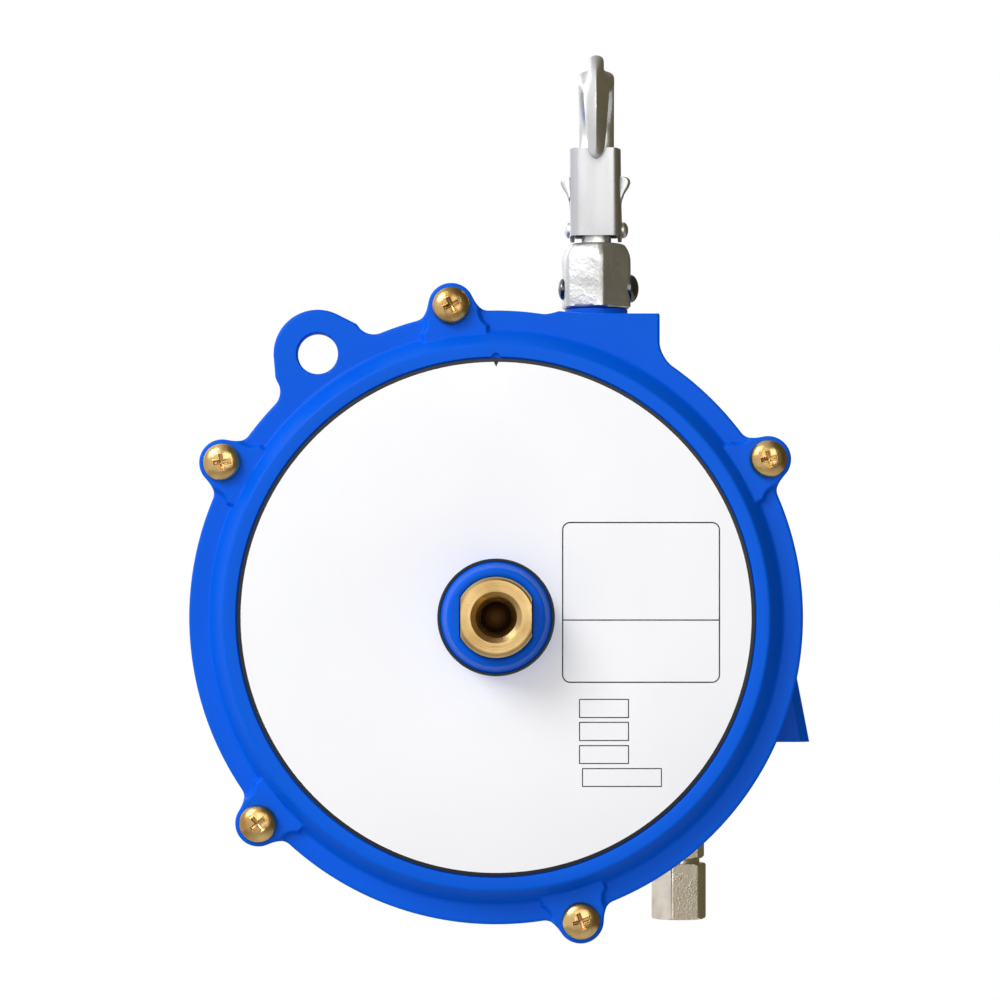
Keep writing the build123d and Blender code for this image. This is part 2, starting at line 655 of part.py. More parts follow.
def gear_cover_screws():
    """Four screws driven forwards into the gearbox corners."""
    seat = GEARBOX_REAR_Y + GEAR_COVER_THICKNESS
    screw = Rot(180, 0, 0) * small_screw(GEAR_SCREW_R, GEAR_SCREW_HEAD_R, GEAR_SCREW_HEAD, GEAR_SCREW_LENGTH)
    return Compound(children=[Pos(x, seat, z) * screw for x, z in gear_screw_places()])


# Shaft and its seals

def air_shaft():
    """The hollow brass shaft: inlet thread, wrench flats, seal journal and rear spindle."""
    front = -BOSS_PROUD - SHAFT_PROUD
    collar = HUB_END_Y + SHAFT_COLLAR_THICKNESS
    bore_end = PORT_Y + PORT_R + 1
    step = WEB_FRONT_Y + 1
    body = turned(
        (0, front),
        (SHAFT_R - SHAFT_EDGE, front),
        (SHAFT_R, front + SHAFT_EDGE),
        (SHAFT_R, HUB_END_Y),
        (SHAFT_R + SHAFT_COLLAR, HUB_END_Y),
        (SHAFT_R + SHAFT_COLLAR, collar),
        (JOURNAL_R, collar),
        (JOURNAL_R, step),
        (SPINDLE_R, step),
        (SPINDLE_R, SPINDLE_END_Y - 1),
        (SPINDLE_R - 1, SPINDLE_END_Y),
        (0, SPINDLE_END_Y),
    )
    body -= turned((0, front - 1), (INLET_MOUTH_R, front - 1), (INLET_MOUTH_R, front),
                   (INLET_R, front + INLET_MOUTH_DEPTH), (INLET_R, front + INLET_DEPTH),
                   (AIR_BORE_R, front + INLET_DEPTH + 1), (AIR_BORE_R, bore_end),
                   (0, bore_end + AIR_BORE_R / 2))
    for side in (-1, 1):
        x = side * (WRENCH_FLATS / 2 + 5)
        body -= Pos(x, front + FLAT_LENGTH / 2 - 0.5, 0) * Box(10, FLAT_LENGTH + 1, 4 * SHAFT_R)
    for seal in seal_places():
        body -= ring(JOURNAL_R - SEAL_GROOVE_DEPTH, JOURNAL_R + 1, seal - SEAL_WIDTH / 2, seal + SEAL_WIDTH / 2)
    body -= rod_x(PORT_R, PORT_Y, 0, -JOURNAL_R - 1, JOURNAL_R + 1)
    for angle in (0, 90):
        hole = SET_SCREW_R + RUNNING_CLEARANCE
        body -= Rot(0, angle, 0) * rod_x(hole, set_screw_y(), 0, SHAFT_R - SET_SCREW_DEPTH, SHAFT_R + 1)
    return one(body)


def set_screw_y():
    """Where the set screws sit along the cover's inner hub."""
    return (HUB_END_Y + RECESS_DEPTH + COVER_WALL + HUB_FILLET) / 2


def shaft_screws():
    """Two set screws through the cover's hub into the shaft."""
    screw = rod_x(SET_SCREW_R, set_screw_y(), 0, SHAFT_R - SET_SCREW_DEPTH + 0.1, HUB_R - 0.2)
    return Compound(children=[Rot(0, angle, 0) * screw for angle in (0, 90)])


def seal_places():
    """The two O-ring grooves, one each side of the air port."""
    return PORT_Y - SEAL_SPACING, PORT_Y + SEAL_SPACING


def shaft_o_rings():
    """The O-rings that seal the turning drum to the shaft."""
    rings = []
    for y in seal_places():
        inner = JOURNAL_R - SEAL_GROOVE_DEPTH + 0.03
        section = Pos((inner + JOURNAL_R) / 2, y) * RegularPolygon((JOURNAL_R - inner) / 2, 4)
        rings.append(revolve(section, Axis.Y))
    return Compound(children=rings)


def drum_bushes():
    """Bronze bushes pressed into both ends of the drum's hub."""
    inner = JOURNAL_R + RUNNING_CLEARANCE
    outer = inner + BUSH_WALL
    front = DRUM_FRONT_Y - DRUM_HUB_LEAD
    rear = WEB_FRONT_Y + WEB_THICKNESS - BUSH_LENGTH
    return Compound(children=[
        ring(inner, outer, front, front + BUSH_LENGTH - 0.5),
        ring(inner, outer, rear - BUSH_LENGTH, rear),
    ])


# Drum

def wrap_radius(y):
    """Radius of the wound hose's centre line at a place along the drum."""
    return WRAP_FRONT_R + (WRAP_REAR_R - WRAP_FRONT_R) * (y - PORT_Y) / (HOSE_TURNS * HOSE_PITCH)


def hose_drum():
    """The conical drum: hub with seals, web, hose cone with end flanges and the spring chamber behind."""
    bush = JOURNAL_R + RUNNING_CLEARANCE + BUSH_WALL
    bore = JOURNAL_R + RUNNING_CLEARANCE
    front = DRUM_FRONT_Y
    last = PORT_Y + HOSE_TURNS * HOSE_PITCH
    seat = HOSE_R + SEAT_CLEARANCE
    flange_front = front + DRUM_FLANGE_THICKNESS
    flange_rear = last + HOSE_R + TURN_GAP
    web_rear = WEB_FRONT_Y + WEB_THICKNESS
    chamber_rear = web_rear + CHAMBER_DEPTH
    barrel = CHAMBER_R + CHAMBER_WALL
    cone_front = wrap_radius(flange_front) - seat
    cone_rear = wrap_radius(flange_rear) - seat
    inner_front = cone_front - DRUM_SHELL
    inner_web = wrap_radius(WEB_FRONT_Y) - seat - DRUM_SHELL
    body = turned(
        (bush, front - DRUM_HUB_LEAD),
        (DRUM_HUB_R, front - DRUM_HUB_LEAD),
        (DRUM_HUB_R, WEB_FRONT_Y - WEB_FILLET),
        (DRUM_HUB_R + WEB_FILLET, WEB_FRONT_Y),
        (inner_web - WEB_FILLET, WEB_FRONT_Y),
        (inner_web, WEB_FRONT_Y - WEB_FILLET),
        (inner_front, front + 1),
        (inner_front, front),
        (DRUM_FRONT_FLANGE_R, front),
        (DRUM_FRONT_FLANGE_R, flange_front),
        (cone_front, flange_front),
        (cone_rear, flange_rear),
        (DRUM_REAR_FLANGE_R, flange_rear),
        (DRUM_REAR_FLANGE_R, flange_rear + DRUM_FLANGE_THICKNESS),
        (barrel, flange_rear + DRUM_FLANGE_THICKNESS),
        (barrel, chamber_rear),
        (CHAMBER_R, chamber_rear),
        (CHAMBER_R, web_rear),
        (bush, web_rear),
        (bush, web_rear - 2 * BUSH_LENGTH),
        (bore, web_rear - 2 * BUSH_LENGTH),
        (bore, front - DRUM_HUB_LEAD + BUSH_LENGTH - 0.5),
        (bush, front - DRUM_HUB_LEAD + BUSH_LENGTH - 0.5),
    )
    body -= rod_x(PORT_R, PORT_Y, 0, bore - 1, DRUM_HUB_R + 1)
    body -= rod_x(NIPPLE_R + 0.02, PORT_Y, 0, DRUM_HUB_R - NIPPLE_THREAD, DRUM_HUB_R + 1)
    body -= prism(lead_window(), flange_front, PORT_Y + HOSE_R + 2 * SEAT_CLEARANCE)
    hole = CHAMBER_SCREW_R + RUNNING_CLEARANCE
    for x, z in spring_screw_places():
        body -= rod_y(hole, x, z, chamber_rear - CHAMBER_SCREW_LENGTH, chamber_rear + 1)
    return one(body)


def lead_start():
    """Distance from the axis at which the hose leaves the nipple."""
    return DRUM_HUB_R + LEAD_LENGTH


def lead_radius():
    """Radius of the bend that takes the hose from the nipple into the first turn."""
    start = lead_start()
    return (WRAP_FRONT_R**2 - start**2) / (2 * WRAP_FRONT_R)


def lead_angle():
    """Angle about the axis at which the bend meets the first turn."""
    return math.degrees(math.atan2(lead_radius(), lead_start()))


def lead_window():
    """The slot in the drum's cone, a sector seen from the front, that lets the hose out to its first turn."""
    first = -lead_angle() / 4
    last = -lead_angle() - 6
    near = lead_start() * 2
    far = DRUM_FRONT_FLANGE_R * 1.2
    corners = [polar(near, first), polar(far, first), polar(far, last), polar(near, last)]
    return make_face(Polyline(*corners, close=True))


def hose_lead(extra):
    """The bend of hose from the nipple on the hub out to the first turn."""
    start = lead_start()
    cut = Plane(origin=(start, PORT_Y, 0), x_dir=(0, 0, 1), z_dir=(1, 0, 0))
    axis = Axis((start, PORT_Y, -lead_radius()), (0, 1, 0))
    return revolve(cut * RegularPolygon(HOSE_R - 0.1, HOSE_SIDES), axis, 90 + lead_angle() + extra)


def wound_hose():
    """The hose on the drum: a bend from the nipple and four turns that narrow towards the rear."""
    steps = HOSE_TURNS * SEGMENTS_PER_TURN
    first = -lead_angle()
    step_angle = (360 * HOSE_TURNS + first) / steps
    outward = 1 / math.cos(math.radians(step_angle / 2))
    points = []
    for place in [0] + [step + 0.5 for step in range(steps)] + [steps]:
        y = PORT_Y + HOSE_TURNS * HOSE_PITCH * place / steps
        turn = math.radians(first - step_angle * place)
        radius = wrap_radius(y) * (outward if place % 1 else 1)
        points.append((radius * math.cos(turn), y, radius * math.sin(turn)))
    path = Polyline(*points)
    cut = Plane(origin=path @ 0, z_dir=path % 0)
    section = cut * RegularPolygon(HOSE_R, HOSE_SIDES, rotation=180 / HOSE_SIDES)
    coil = sweep(section, path=path, transition=Transition.RIGHT)
    return Compound(children=[one(hose_lead(-1.0)), one(coil)])


def hose_nipple():
    """The brass barb screwed into the hub, which feeds air to the hose."""
    start = DRUM_HUB_R - NIPPLE_THREAD
    body = rod_x(NIPPLE_R, PORT_Y, 0, start, DRUM_HUB_R + 1)
    nut = extrude(Plane.YZ * hexagon(NIPPLE_FLATS), amount=NIPPLE_HEX)
    body += Pos(DRUM_HUB_R + SEAT_CLEARANCE, PORT_Y, 0) * nut
    body += rod_x(BARB_R, PORT_Y, 0, DRUM_HUB_R + NIPPLE_HEX, lead_start() - 0.1)
    return one(body - rod_x(BARB_BORE_R, PORT_Y, 0, start - 1, lead_start() + 1))


def spring_screw_places():
    """The screws that hold the spring chamber's cover, in the barrel wall."""
    radius = CHAMBER_R + CHAMBER_WALL / 2
    return [polar(radius, 90 + 360 * n / SCREWS_ON_CHAMBER) for n in range(SCREWS_ON_CHAMBER)]


def spring_cover():
    """The disc that closes the spring chamber and turns on the arbor."""
    front = DRUM_REAR_Y
    body = ring(ARBOR_R + RUNNING_CLEARANCE, CHAMBER_R + CHAMBER_WALL, front, front + SPRING_COVER_THICKNESS)
    for x, z in spring_screw_places():
        body -= rod_y(CHAMBER_SCREW_R + 0.1, x, z, front - 1, front + SPRING_COVER_THICKNESS + 1)
    return one(body)


def spring_cover_screws():
    """The small screws of the spring chamber's cover."""
    seat = DRUM_REAR_Y + SPRING_COVER_THICKNESS
    screw = Rot(180, 0, 0) * small_screw(CHAMBER_SCREW_R, CHAMBER_SCREW_HEAD_R, CHAMBER_SCREW_HEAD,
                                         CHAMBER_SCREW_LENGTH)
    return Compound(children=[Pos(x, seat, z) * screw for x, z in spring_screw_places()])


# Spring, arbor and worm drive

def mainspring():
    """The clock spring: a flat strip wound from the arbor out to the chamber wall."""
    inner = ARBOR_R + SPRING_GAP
    outer = CHAMBER_R - SPRING_GAP
    steps = SPRING_TURNS * SPRING_POINTS
    near = []
    far = []
    for step in range(steps + 1):
        radius = inner + (outer - SPRING_THICKNESS - inner) * step / steps
        angle = 360 * step / SPRING_POINTS
        near.append(polar(radius, angle))
        far.append(polar(radius + SPRING_THICKNESS, angle))
    outline = make_face(Polyline(*near, *reversed(far), close=True))
    front = WEB_FRONT_Y + WEB_THICKNESS + 1
    return one(prism(outline, front, front + CHAMBER_DEPTH - 2))


def spring_arbor():
    """The steel arbor that anchors the spring and carries the worm wheel."""
    front = WEB_FRONT_Y + WEB_THICKNESS + ARBOR_GAP
    flange = DRUM_REAR_Y + SPRING_COVER_THICKNESS + ARBOR_GAP
    journal = flange + ARBOR_FLANGE_THICKNESS
    seat = GEARBOX_FLOOR_Y + 1
    end = WHEEL_Y + WHEEL_WIDTH / 2 + CLIP_THICKNESS + ARBOR_END
    body = turned(
        (0, front),
        (ARBOR_R, front),
        (ARBOR_R, flange),
        (ARBOR_FLANGE_R, flange),
        (ARBOR_FLANGE_R, journal),
        (ARBOR_JOURNAL_R, journal),
        (ARBOR_JOURNAL_R, seat),
        (WHEEL_SEAT_R, seat),
        (WHEEL_SEAT_R, end - ARBOR_BEVEL),
        (WHEEL_SEAT_R - ARBOR_BEVEL, end),
        (0, end),
    )
    body -= rod_y(SPINDLE_R + RUNNING_CLEARANCE, 0, 0, front - 1, SPINDLE_END_Y + 1)
    clip = WHEEL_Y + WHEEL_WIDTH / 2 + 0.1
    body -= ring(WHEEL_SEAT_R - CLIP_GROOVE, WHEEL_SEAT_R + 1, clip, clip + CLIP_THICKNESS + 0.1)
    body -= Pos(0, WHEEL_Y, WHEEL_SEAT_R) * Box(KEY_WIDTH, WHEEL_WIDTH, KEY_HEIGHT)
    body -= Pos(ARBOR_R, front + CHAMBER_DEPTH / 2, 0) * Box(KEY_HEIGHT, CHAMBER_DEPTH * 0.88, SPRING_SLOT)
    return one(body)


def arbor_bush():
    """The flanged bush in the case's rear wall that the arbor turns in."""
    inner = ARBOR_JOURNAL_R + RUNNING_CLEARANCE
    front = CASE_REAR_Y - CASE_WALL - ARBOR_BUSH_LEAD
    return ring(inner, ARBOR_JOURNAL_R + ARBOR_BUSH_WALL, front, GEARBOX_FLOOR_Y)


def wheel_clip():
    """The retaining ring behind the worm wheel."""
    clip = WHEEL_Y + WHEEL_WIDTH / 2 + 0.15
    body = ring(WHEEL_SEAT_R - CLIP_GROOVE + 0.05, CLIP_R, clip, clip + CLIP_THICKNESS)
    return one(body - Pos(0, clip, -CLIP_R) * Box(CLIP_OPENING, CLIP_OPENING, 2 * CLIP_OPENING))


def wheel_key():
    """The parallel key between the arbor and the worm wheel."""
    return Pos(0, WHEEL_Y, WHEEL_SEAT_R) * Box(KEY_WIDTH, WHEEL_WIDTH, KEY_HEIGHT)


def tooth_outline():
    """One wheel tooth centred on +Z: involute flanks from the base circle, thinned by the backlash."""
    pitch_r = WHEEL_PITCH_R
    base_r = pitch_r * math.cos(math.radians(PRESSURE_ANGLE))
    root_r = pitch_r - 1.25 * MODULE
    tip_r = pitch_r + MODULE
    half = (math.pi * MODULE / 2 - BACKLASH) / 2 / pitch_r
    at_pitch = math.tan(math.radians(PRESSURE_ANGLE)) - math.radians(PRESSURE_ANGLE)
    flank = []
    for step in range(4):
        radius = base_r + (tip_r - base_r) * step / 3
        roll = math.acos(base_r / radius)
        flank.append((radius, half + at_pitch - (math.tan(roll) - roll)))
    flank.insert(0, (root_r - 0.3, flank[0][1]))
    right = [(r * math.sin(a), r * math.cos(a)) for r, a in flank]
    left = [(-x, z) for x, z in reversed(right)]
    return make_face(Polyline(*right, *left, close=True))


def worm_wheel():
    """The bronze worm wheel: helical teeth at the worm's lead angle on a keyed hub."""
    pitch_r = WHEEL_PITCH_R
    root_r = pitch_r - 1.25 * MODULE
    lead_slope = MODULE / (2 * WORM_PITCH_R)
    twist = math.degrees(WHEEL_WIDTH * lead_slope / pitch_r)
    front = WHEEL_Y - WHEEL_WIDTH / 2
    outline = Circle(root_r)
    tooth = tooth_outline()
    for n in range(WHEEL_TEETH):
        outline += Rot(0, 0, 180 + (n + 0.5) * 360 / WHEEL_TEETH + twist / 2) * tooth
    face = (Plane(origin=(0, front, 0), x_dir=(1, 0, 0), z_dir=(0, -1, 0)) * outline).faces()[0]
    gear = Solid.extrude_linear_with_rotation(face, (0, front, 0), (0, WHEEL_WIDTH, 0), twist)
    gear -= rod_y(WHEEL_SEAT_R + 0.02, 0, 0, front - 1, front + WHEEL_WIDTH + 1)
    gear -= Pos(0, WHEEL_Y, WHEEL_SEAT_R) * Box(KEY_WIDTH, WHEEL_WIDTH + 2, KEY_HEIGHT)
    return one(gear)


def worm():
    """The worm: a single-start thread on a spindle with a key socket in its left end."""
    root_r = WORM_PITCH_R - 1.25 * MODULE
    tip_r = WORM_PITCH_R + MODULE
    lead = math.pi * MODULE
    half_length = WORM_THREAD_LENGTH / 2
    half_pitch = (lead / 2 - BACKLASH) / 2
    slope = math.tan(math.radians(PRESSURE_ANGLE))
    half_tip = half_pitch - MODULE * slope
    half_root = half_pitch + 1.35 * MODULE * slope
    length = WORM_TURNS * lead
    rib = make_face(Polyline((root_r - 0.1, -half_root), (tip_r, -half_tip), (tip_r, half_tip),
                             (root_r - 0.1, half_root), close=True))
    thread = sweep(Plane.XZ * rib, path=Helix(pitch=lead, height=length, radius=root_r), is_frenet=True)
    body = Rot(0, 90, 0) * (Pos(0, 0, -length / 2) * thread)
    body += rod_x(root_r, 0, 0, -half_length, half_length)
    end = GEARBOX_HALF_WIDTH
    body += rod_x(WORM_JOURNAL_R, 0, 0, -end + 0.5, end - WORM_END_WALL - 1)
    body -= Pos(-end, 0, 0) * extrude(Plane.YZ * hexagon(HEX_KEY_FLATS), amount=HEX_KEY_DEPTH)
    return one(Pos(0, WHEEL_Y, -CENTRE_DISTANCE) * body)


def worm_bushes():
    """The two bushes that the worm turns in."""
    z = -CENTRE_DISTANCE
    bushes = []
    for x in (-GEARBOX_HALF_WIDTH + 1, GEARBOX_HALF_WIDTH - WORM_END_WALL - WORM_BUSH_LENGTH):
        bush = rod_x(WORM_BORE_R, WHEEL_Y, z, x, x + WORM_BUSH_LENGTH)
        bush -= rod_x(WORM_JOURNAL_R + RUNNING_CLEARANCE, WHEEL_Y, z, x - 1, x + WORM_BUSH_LENGTH + 1)
        bushes.append(one(bush))
    return Compound(children=bushes)


# Hose outlet and hose end

def run_y():
    """Where the hose leaves the drum, along its axis."""
    return PORT_Y + HOSE_TURNS * HOSE_PITCH


def hose_guide():
    """The black nylon guide that fills the snout's mouth round the hose."""
    gap = GUIDE_GAP
    low = THROAT_Z + gap
    high = OUTLET_Z + GUIDE_HEIGHT
    block = prism(snout_outline(SNOUT_WALL + gap, gap), snout_front() + SNOUT_WALL + gap,
                  snout_rear() - SNOUT_WALL - gap)
    above = 2 * WRAP_REAR_R
    block -= Pos(WRAP_REAR_R, run_y(), high + above / 2) * Box(above, above, above)
    block -= winding_space()
    block -= upright(Circle(GUIDE_BORE_R), WRAP_REAR_R, run_y(), low - 1, high + 1)
    mouth = Solid.make_cone(GUIDE_BORE_R + GUIDE_FLARE_R, GUIDE_BORE_R, GUIDE_FLARE_R)
    block -= Pos(WRAP_REAR_R, run_y(), low) * mouth
    return block.solids().sort_by(SortBy.VOLUME)[-1]


def winding_space():
    """The space that the drum and its wound hose turn in, with room to spare."""
    room = HOSE_R + WINDING_ROOM
    front = PORT_Y - HOSE_R
    flange = run_y() + HOSE_R
    rear = flange + TURN_GAP + DRUM_FLANGE_THICKNESS + FLANGE_ROOM
    edge = DRUM_REAR_FLANGE_R + FLANGE_ROOM
    return turned((0, front), (wrap_radius(front) + room, front), (wrap_radius(flange) + room, flange),
                  (edge, flange), (edge, rear), (0, rear))


def hose_run():
    """The straight hose from the drum down to the stopper."""
    return upright(Circle(HOSE_R), WRAP_REAR_R, run_y(), STOPPER_TOP_Z, -END_GAP)


def hose_tail():
    """The hose inside the stopper, down to the nut."""
    return upright(Circle(HOSE_R), WRAP_REAR_R, run_y(), STOPPER_BOTTOM_Z, STOPPER_TOP_Z)


def hose_stopper():
    """The rubber stopper that meets the outlet when the hose is wound in."""
    height = STOPPER_TOP_Z - STOPPER_BOTTOM_Z
    narrow = STOPPER_R - STOPPER_BEVEL
    half = make_face(Polyline((HOSE_R, 0), (narrow, 0), (STOPPER_R, STOPPER_BEVEL),
                              (STOPPER_R, height - STOPPER_BEVEL), (narrow, height), (HOSE_R, height),
                              close=True))
    body = revolve(Plane.XZ * half, Axis.Z)
    return one(Pos(WRAP_REAR_R, run_y(), STOPPER_BOTTOM_Z) * body)


def hex_bar(flats, z0, z1, bevel):
    """A hexagon bar along Z with its ends turned to a bevel."""
    corner = flats / math.sqrt(3)
    bar = extrude(hexagon(flats), amount=z1 - z0)
    height = z1 - z0
    drop = bevel * 0.55
    half = make_face(Polyline((0, 0), (corner - bevel, 0), (corner, drop), (corner, height - drop),
                              (corner - bevel, height), (0, height), close=True))
    bar &= revolve(Plane.XZ * half, Axis.Z)
    return Pos(WRAP_REAR_R, run_y(), z0) * Rot(0, 0, FITTING_TURN) * bar


def hose_nut():
    """The clamp nut that grips the hose, with a turned waist at its foot."""
    low = NUT_BOTTOM_Z
    body = hex_bar(NUT_FLATS, low + NUT_WAIST, STOPPER_BOTTOM_Z, NUT_BEVEL)
    body += upright(Circle(NUT_FLATS / 2 - NUT_BEVEL * 0.6), WRAP_REAR_R, run_y(), low, low + NUT_WAIST + 0.5)
    return one(body - upright(Circle(HOSE_R - HOSE_WALL), WRAP_REAR_R, run_y(), low - 1, STOPPER_BOTTOM_Z + 1))


def hose_fitting():
    """The end fitting with its Rc 1/8 female thread."""
    body = hex_bar(FITTING_FLATS, FITTING_BOTTOM_Z, NUT_BOTTOM_Z, FITTING_BEVEL)
    low = FITTING_BOTTOM_Z
    body -= upright(Circle(OUTLET_THREAD_R), WRAP_REAR_R, run_y(), low - 1, low + OUTLET_THREAD_DEPTH)
    mouth = Solid.make_cone(OUTLET_THREAD_R + OUTLET_MOUTH, OUTLET_THREAD_R, OUTLET_MOUTH)
    body -= Pos(WRAP_REAR_R, run_y(), low) * mouth
    return one(body - upright(Circle(FITTING_BORE_R), WRAP_REAR_R, run_y(), low, NUT_BOTTOM_Z + 1))


# Hook and swivel, drawn at the swivel's axis: local -Y is the hook's open side

def at_hook(shape):
    """Puts a piece that was drawn about the swivel's axis in its place, turned as it hangs."""
    return Pos(HOOK_X, HOOK_Y, 0) * Rot(0, 0, HOOK_TURN) * shape


def side_plate(outline, width):
    """An outline drawn as (forward, up), made into a plate across X."""
    plane = Plane(origin=(0, 0, 0), x_dir=(0, -1, 0), z_dir=(-1, 0, 0))
    return extrude(plane * outline, amount=width / 2, both=True)


def hook_arc(outer, start, end):
    """A stretch of the hook's ring, from the bowl out to a radius, between two angles."""
    p0 = polar(outer, start)
    p1 = polar(outer, end)
    q0 = polar(BOWL_R, start)
    q1 = polar(BOWL_R, end)
    outside = CenterArc((0, 0), outer, start, end - start)
    inside = CenterArc((0, 0), BOWL_R, start, end - start)
    return Pos(0, BOWL_Z) * make_face(Curve() + outside + Line(p1, q1) + inside + Line(q0, p0))


def shank_outline(outer):
    """The hook's neck, from the back of its ring down to the socket."""
    back, back_z = polar(outer, NECK_ANGLE)
    near, near_z = polar(BOWL_R, NECK_ANGLE)
    middle, middle_z = polar(BOWL_R, 234.3)
    front, front_z = polar(BOWL_R, 262)
    half = NECK_HALF
    foot = SOCKET_TOP_Z - NECK_SUNK
    head = foot + NECK_HEIGHT
    sides = Polyline((back, BOWL_Z + back_z), (-half, head), (-half, foot), (half, foot), (half, head),
                     (front, BOWL_Z + front_z))
    bowl = Spline((front, BOWL_Z + front_z), (middle, BOWL_Z + middle_z), (near, BOWL_Z + near_z))
    return make_face(sides + bowl + Line((near, BOWL_Z + near_z), (back, BOWL_Z + back_z)))


def hook():
    """The forged snap hook: thin outer rib on a thick inner bead, neck and six-sided socket."""
    rib = side_plate(hook_arc(RIB_R, TIP_ANGLE, NECK_ANGLE + 1), RIB_WIDTH)
    bead = side_plate(hook_arc(BEAD_R, TIP_START_ANGLE, NECK_ANGLE + 1), BEAD_WIDTH)
    tip = side_plate(hook_arc(BEAD_R, TIP_ANGLE, TIP_START_ANGLE + 1), TIP_WIDTH)
    neck = side_plate(shank_outline(RIB_R), RIB_WIDTH) + side_plate(shank_outline(BEAD_R), SHANK_WIDTH)
    rim = BOSS_TOP_Z + SOCKET_GAP
    corner = SOCKET_FLATS / math.sqrt(3)
    height = SOCKET_TOP_Z - rim
    block = extrude(Rot(0, 0, 90) * hexagon(SOCKET_FLATS), amount=height)
    slope = SOCKET_SHOULDER
    side = corner - SOCKET_EDGE
    shoulder = make_face(Polyline((0, 0), (side, 0), (side, height - slope),
                                  (corner - slope / 3, height - slope * 0.43),
                                  (SOCKET_CROWN_R, height - SOCKET_CROWN), (0, height), close=True))
    block &= revolve(Plane.XZ * shoulder, Axis.Z)
    body = rib + bead + tip + neck + Pos(0, 0, rim) * block
    body -= upright(Circle(STUD_R + RUNNING_CLEARANCE), 0, 0, rim - 1, STUD_TOP_Z + SEAT_CLEARANCE)
    body -= rod_x(PIN_R + PIN_CLEARANCE, 0, PIN_Z, -SOCKET_FLATS, SOCKET_FLATS)
    body -= rod_x(RIVET_R + RUNNING_CLEARANCE, 0, RIVET_Z, -SOCKET_FLATS, SOCKET_FLATS)
    return at_hook(one(body))


def swivel_stud():
    """The stud that the housing turns on, pinned in the hook's socket."""
    nut_low = STUD_SEAT_Z - STUD_WASHER_THICKNESS - STUD_NUT_HEIGHT
    body = upright(Circle(STUD_R), 0, 0, STUD_SEAT_Z - 0.1, STUD_TOP_Z)
    body += upright(Circle(STUD_THREAD_R), 0, 0, nut_low - 1, STUD_SEAT_Z)
    return at_hook(one(body - rod_x(PIN_R + PIN_CLEARANCE, 0, PIN_Z, -SOCKET_FLATS, SOCKET_FLATS)))


def stud_bush():
    """The bronze bush in the hook boss."""
    inner = STUD_R + RUNNING_CLEARANCE
    body = upright(Circle(inner + STUD_BUSH_WALL) - Circle(inner), HOOK_X, HOOK_Y, STUD_SEAT_Z, BOSS_TOP_Z)
    return one(body)


def stud_washer():
    """The thrust washer under the hook boss."""
    top = STUD_SEAT_Z - 0.2
    outline = Circle(STUD_NUT_FLATS / 2 + 1.4) - Circle(STUD_THREAD_R + 0.05)
    return one(upright(outline, HOOK_X, HOOK_Y, top - STUD_WASHER_THICKNESS + 0.1, top))


def stud_nut():
    """The nut that holds the stud from below."""
    top = STUD_SEAT_Z - STUD_WASHER_THICKNESS - 0.1
    body = upright(hexagon(STUD_NUT_FLATS) - Circle(STUD_THREAD_R + 0.02), 0, 0, top - STUD_NUT_HEIGHT, top)
    return at_hook(one(body))


def domed_head(radius, height):
    """A low rivet head about X, its flat face at the origin and its crown towards +X in two slopes."""
    half_section = Polyline((0, 0), (0, radius), (height * 0.65, radius * 0.75), (height, radius * 0.3),
                            (height, 0), close=True)
    return revolve(make_face(half_section), Axis.X)


def hook_pin():
    """The cross pin through the socket, with a small head on the left and a domed one on the right."""
    half = SOCKET_FLATS / 2
    body = rod_x(PIN_R, 0, 0, -half - 0.3, half + 0.3)
    body += Pos(half, 0, 0) * domed_head(PIN_RIGHT_HEAD_R, PIN_HEAD_RIGHT)
    body += Pos(-half, 0, 0) * Rot(0, 0, 180) * domed_head(PIN_LEFT_HEAD_R, PIN_HEAD_LEFT)
    return at_hook(one(Pos(0, 0, PIN_Z) * body))


def latch_rivet():
    """The rivet that the latch turns on."""
    seat = LATCH_WIDTH / 2 + 0.1
    head = RIVET_LENGTH / 2 - seat
    body = rod_x(RIVET_R, 0, 0, -seat - 0.1, seat + 0.1)
    body += Pos(seat, 0, 0) * domed_head(RIVET_HEAD_R, head)
    body += Pos(-seat, 0, 0) * Rot(0, 0, 180) * domed_head(RIVET_HEAD_R, head)
    return at_hook(one(Pos(0, 0, RIVET_Z) * body))


def latch_spring():
    """The latch's return spring: a coil on each side of the neck, drawn as close rings."""
    inner = RIVET_R + 0.15
    wire = 2 * LATCH_WIRE_R
    near = SHANK_WIDTH / 2 + 0.1
    coils = []
    for side in (-1, 1):
        turns = Plane.YZ * (Circle(inner + wire) - Circle(inner))
        coil = Pos(side * near, 0, RIVET_Z) * extrude(turns, amount=side * 2 * wire)
        leg = Pos(side * (near + wire / 2), -inner - wire / 2, RIVET_Z + TAB_LOW / 2) * Box(wire, wire, TAB_LOW)
        coils.append(at_hook(one(coil + leg)))
    return Compound(children=coils)


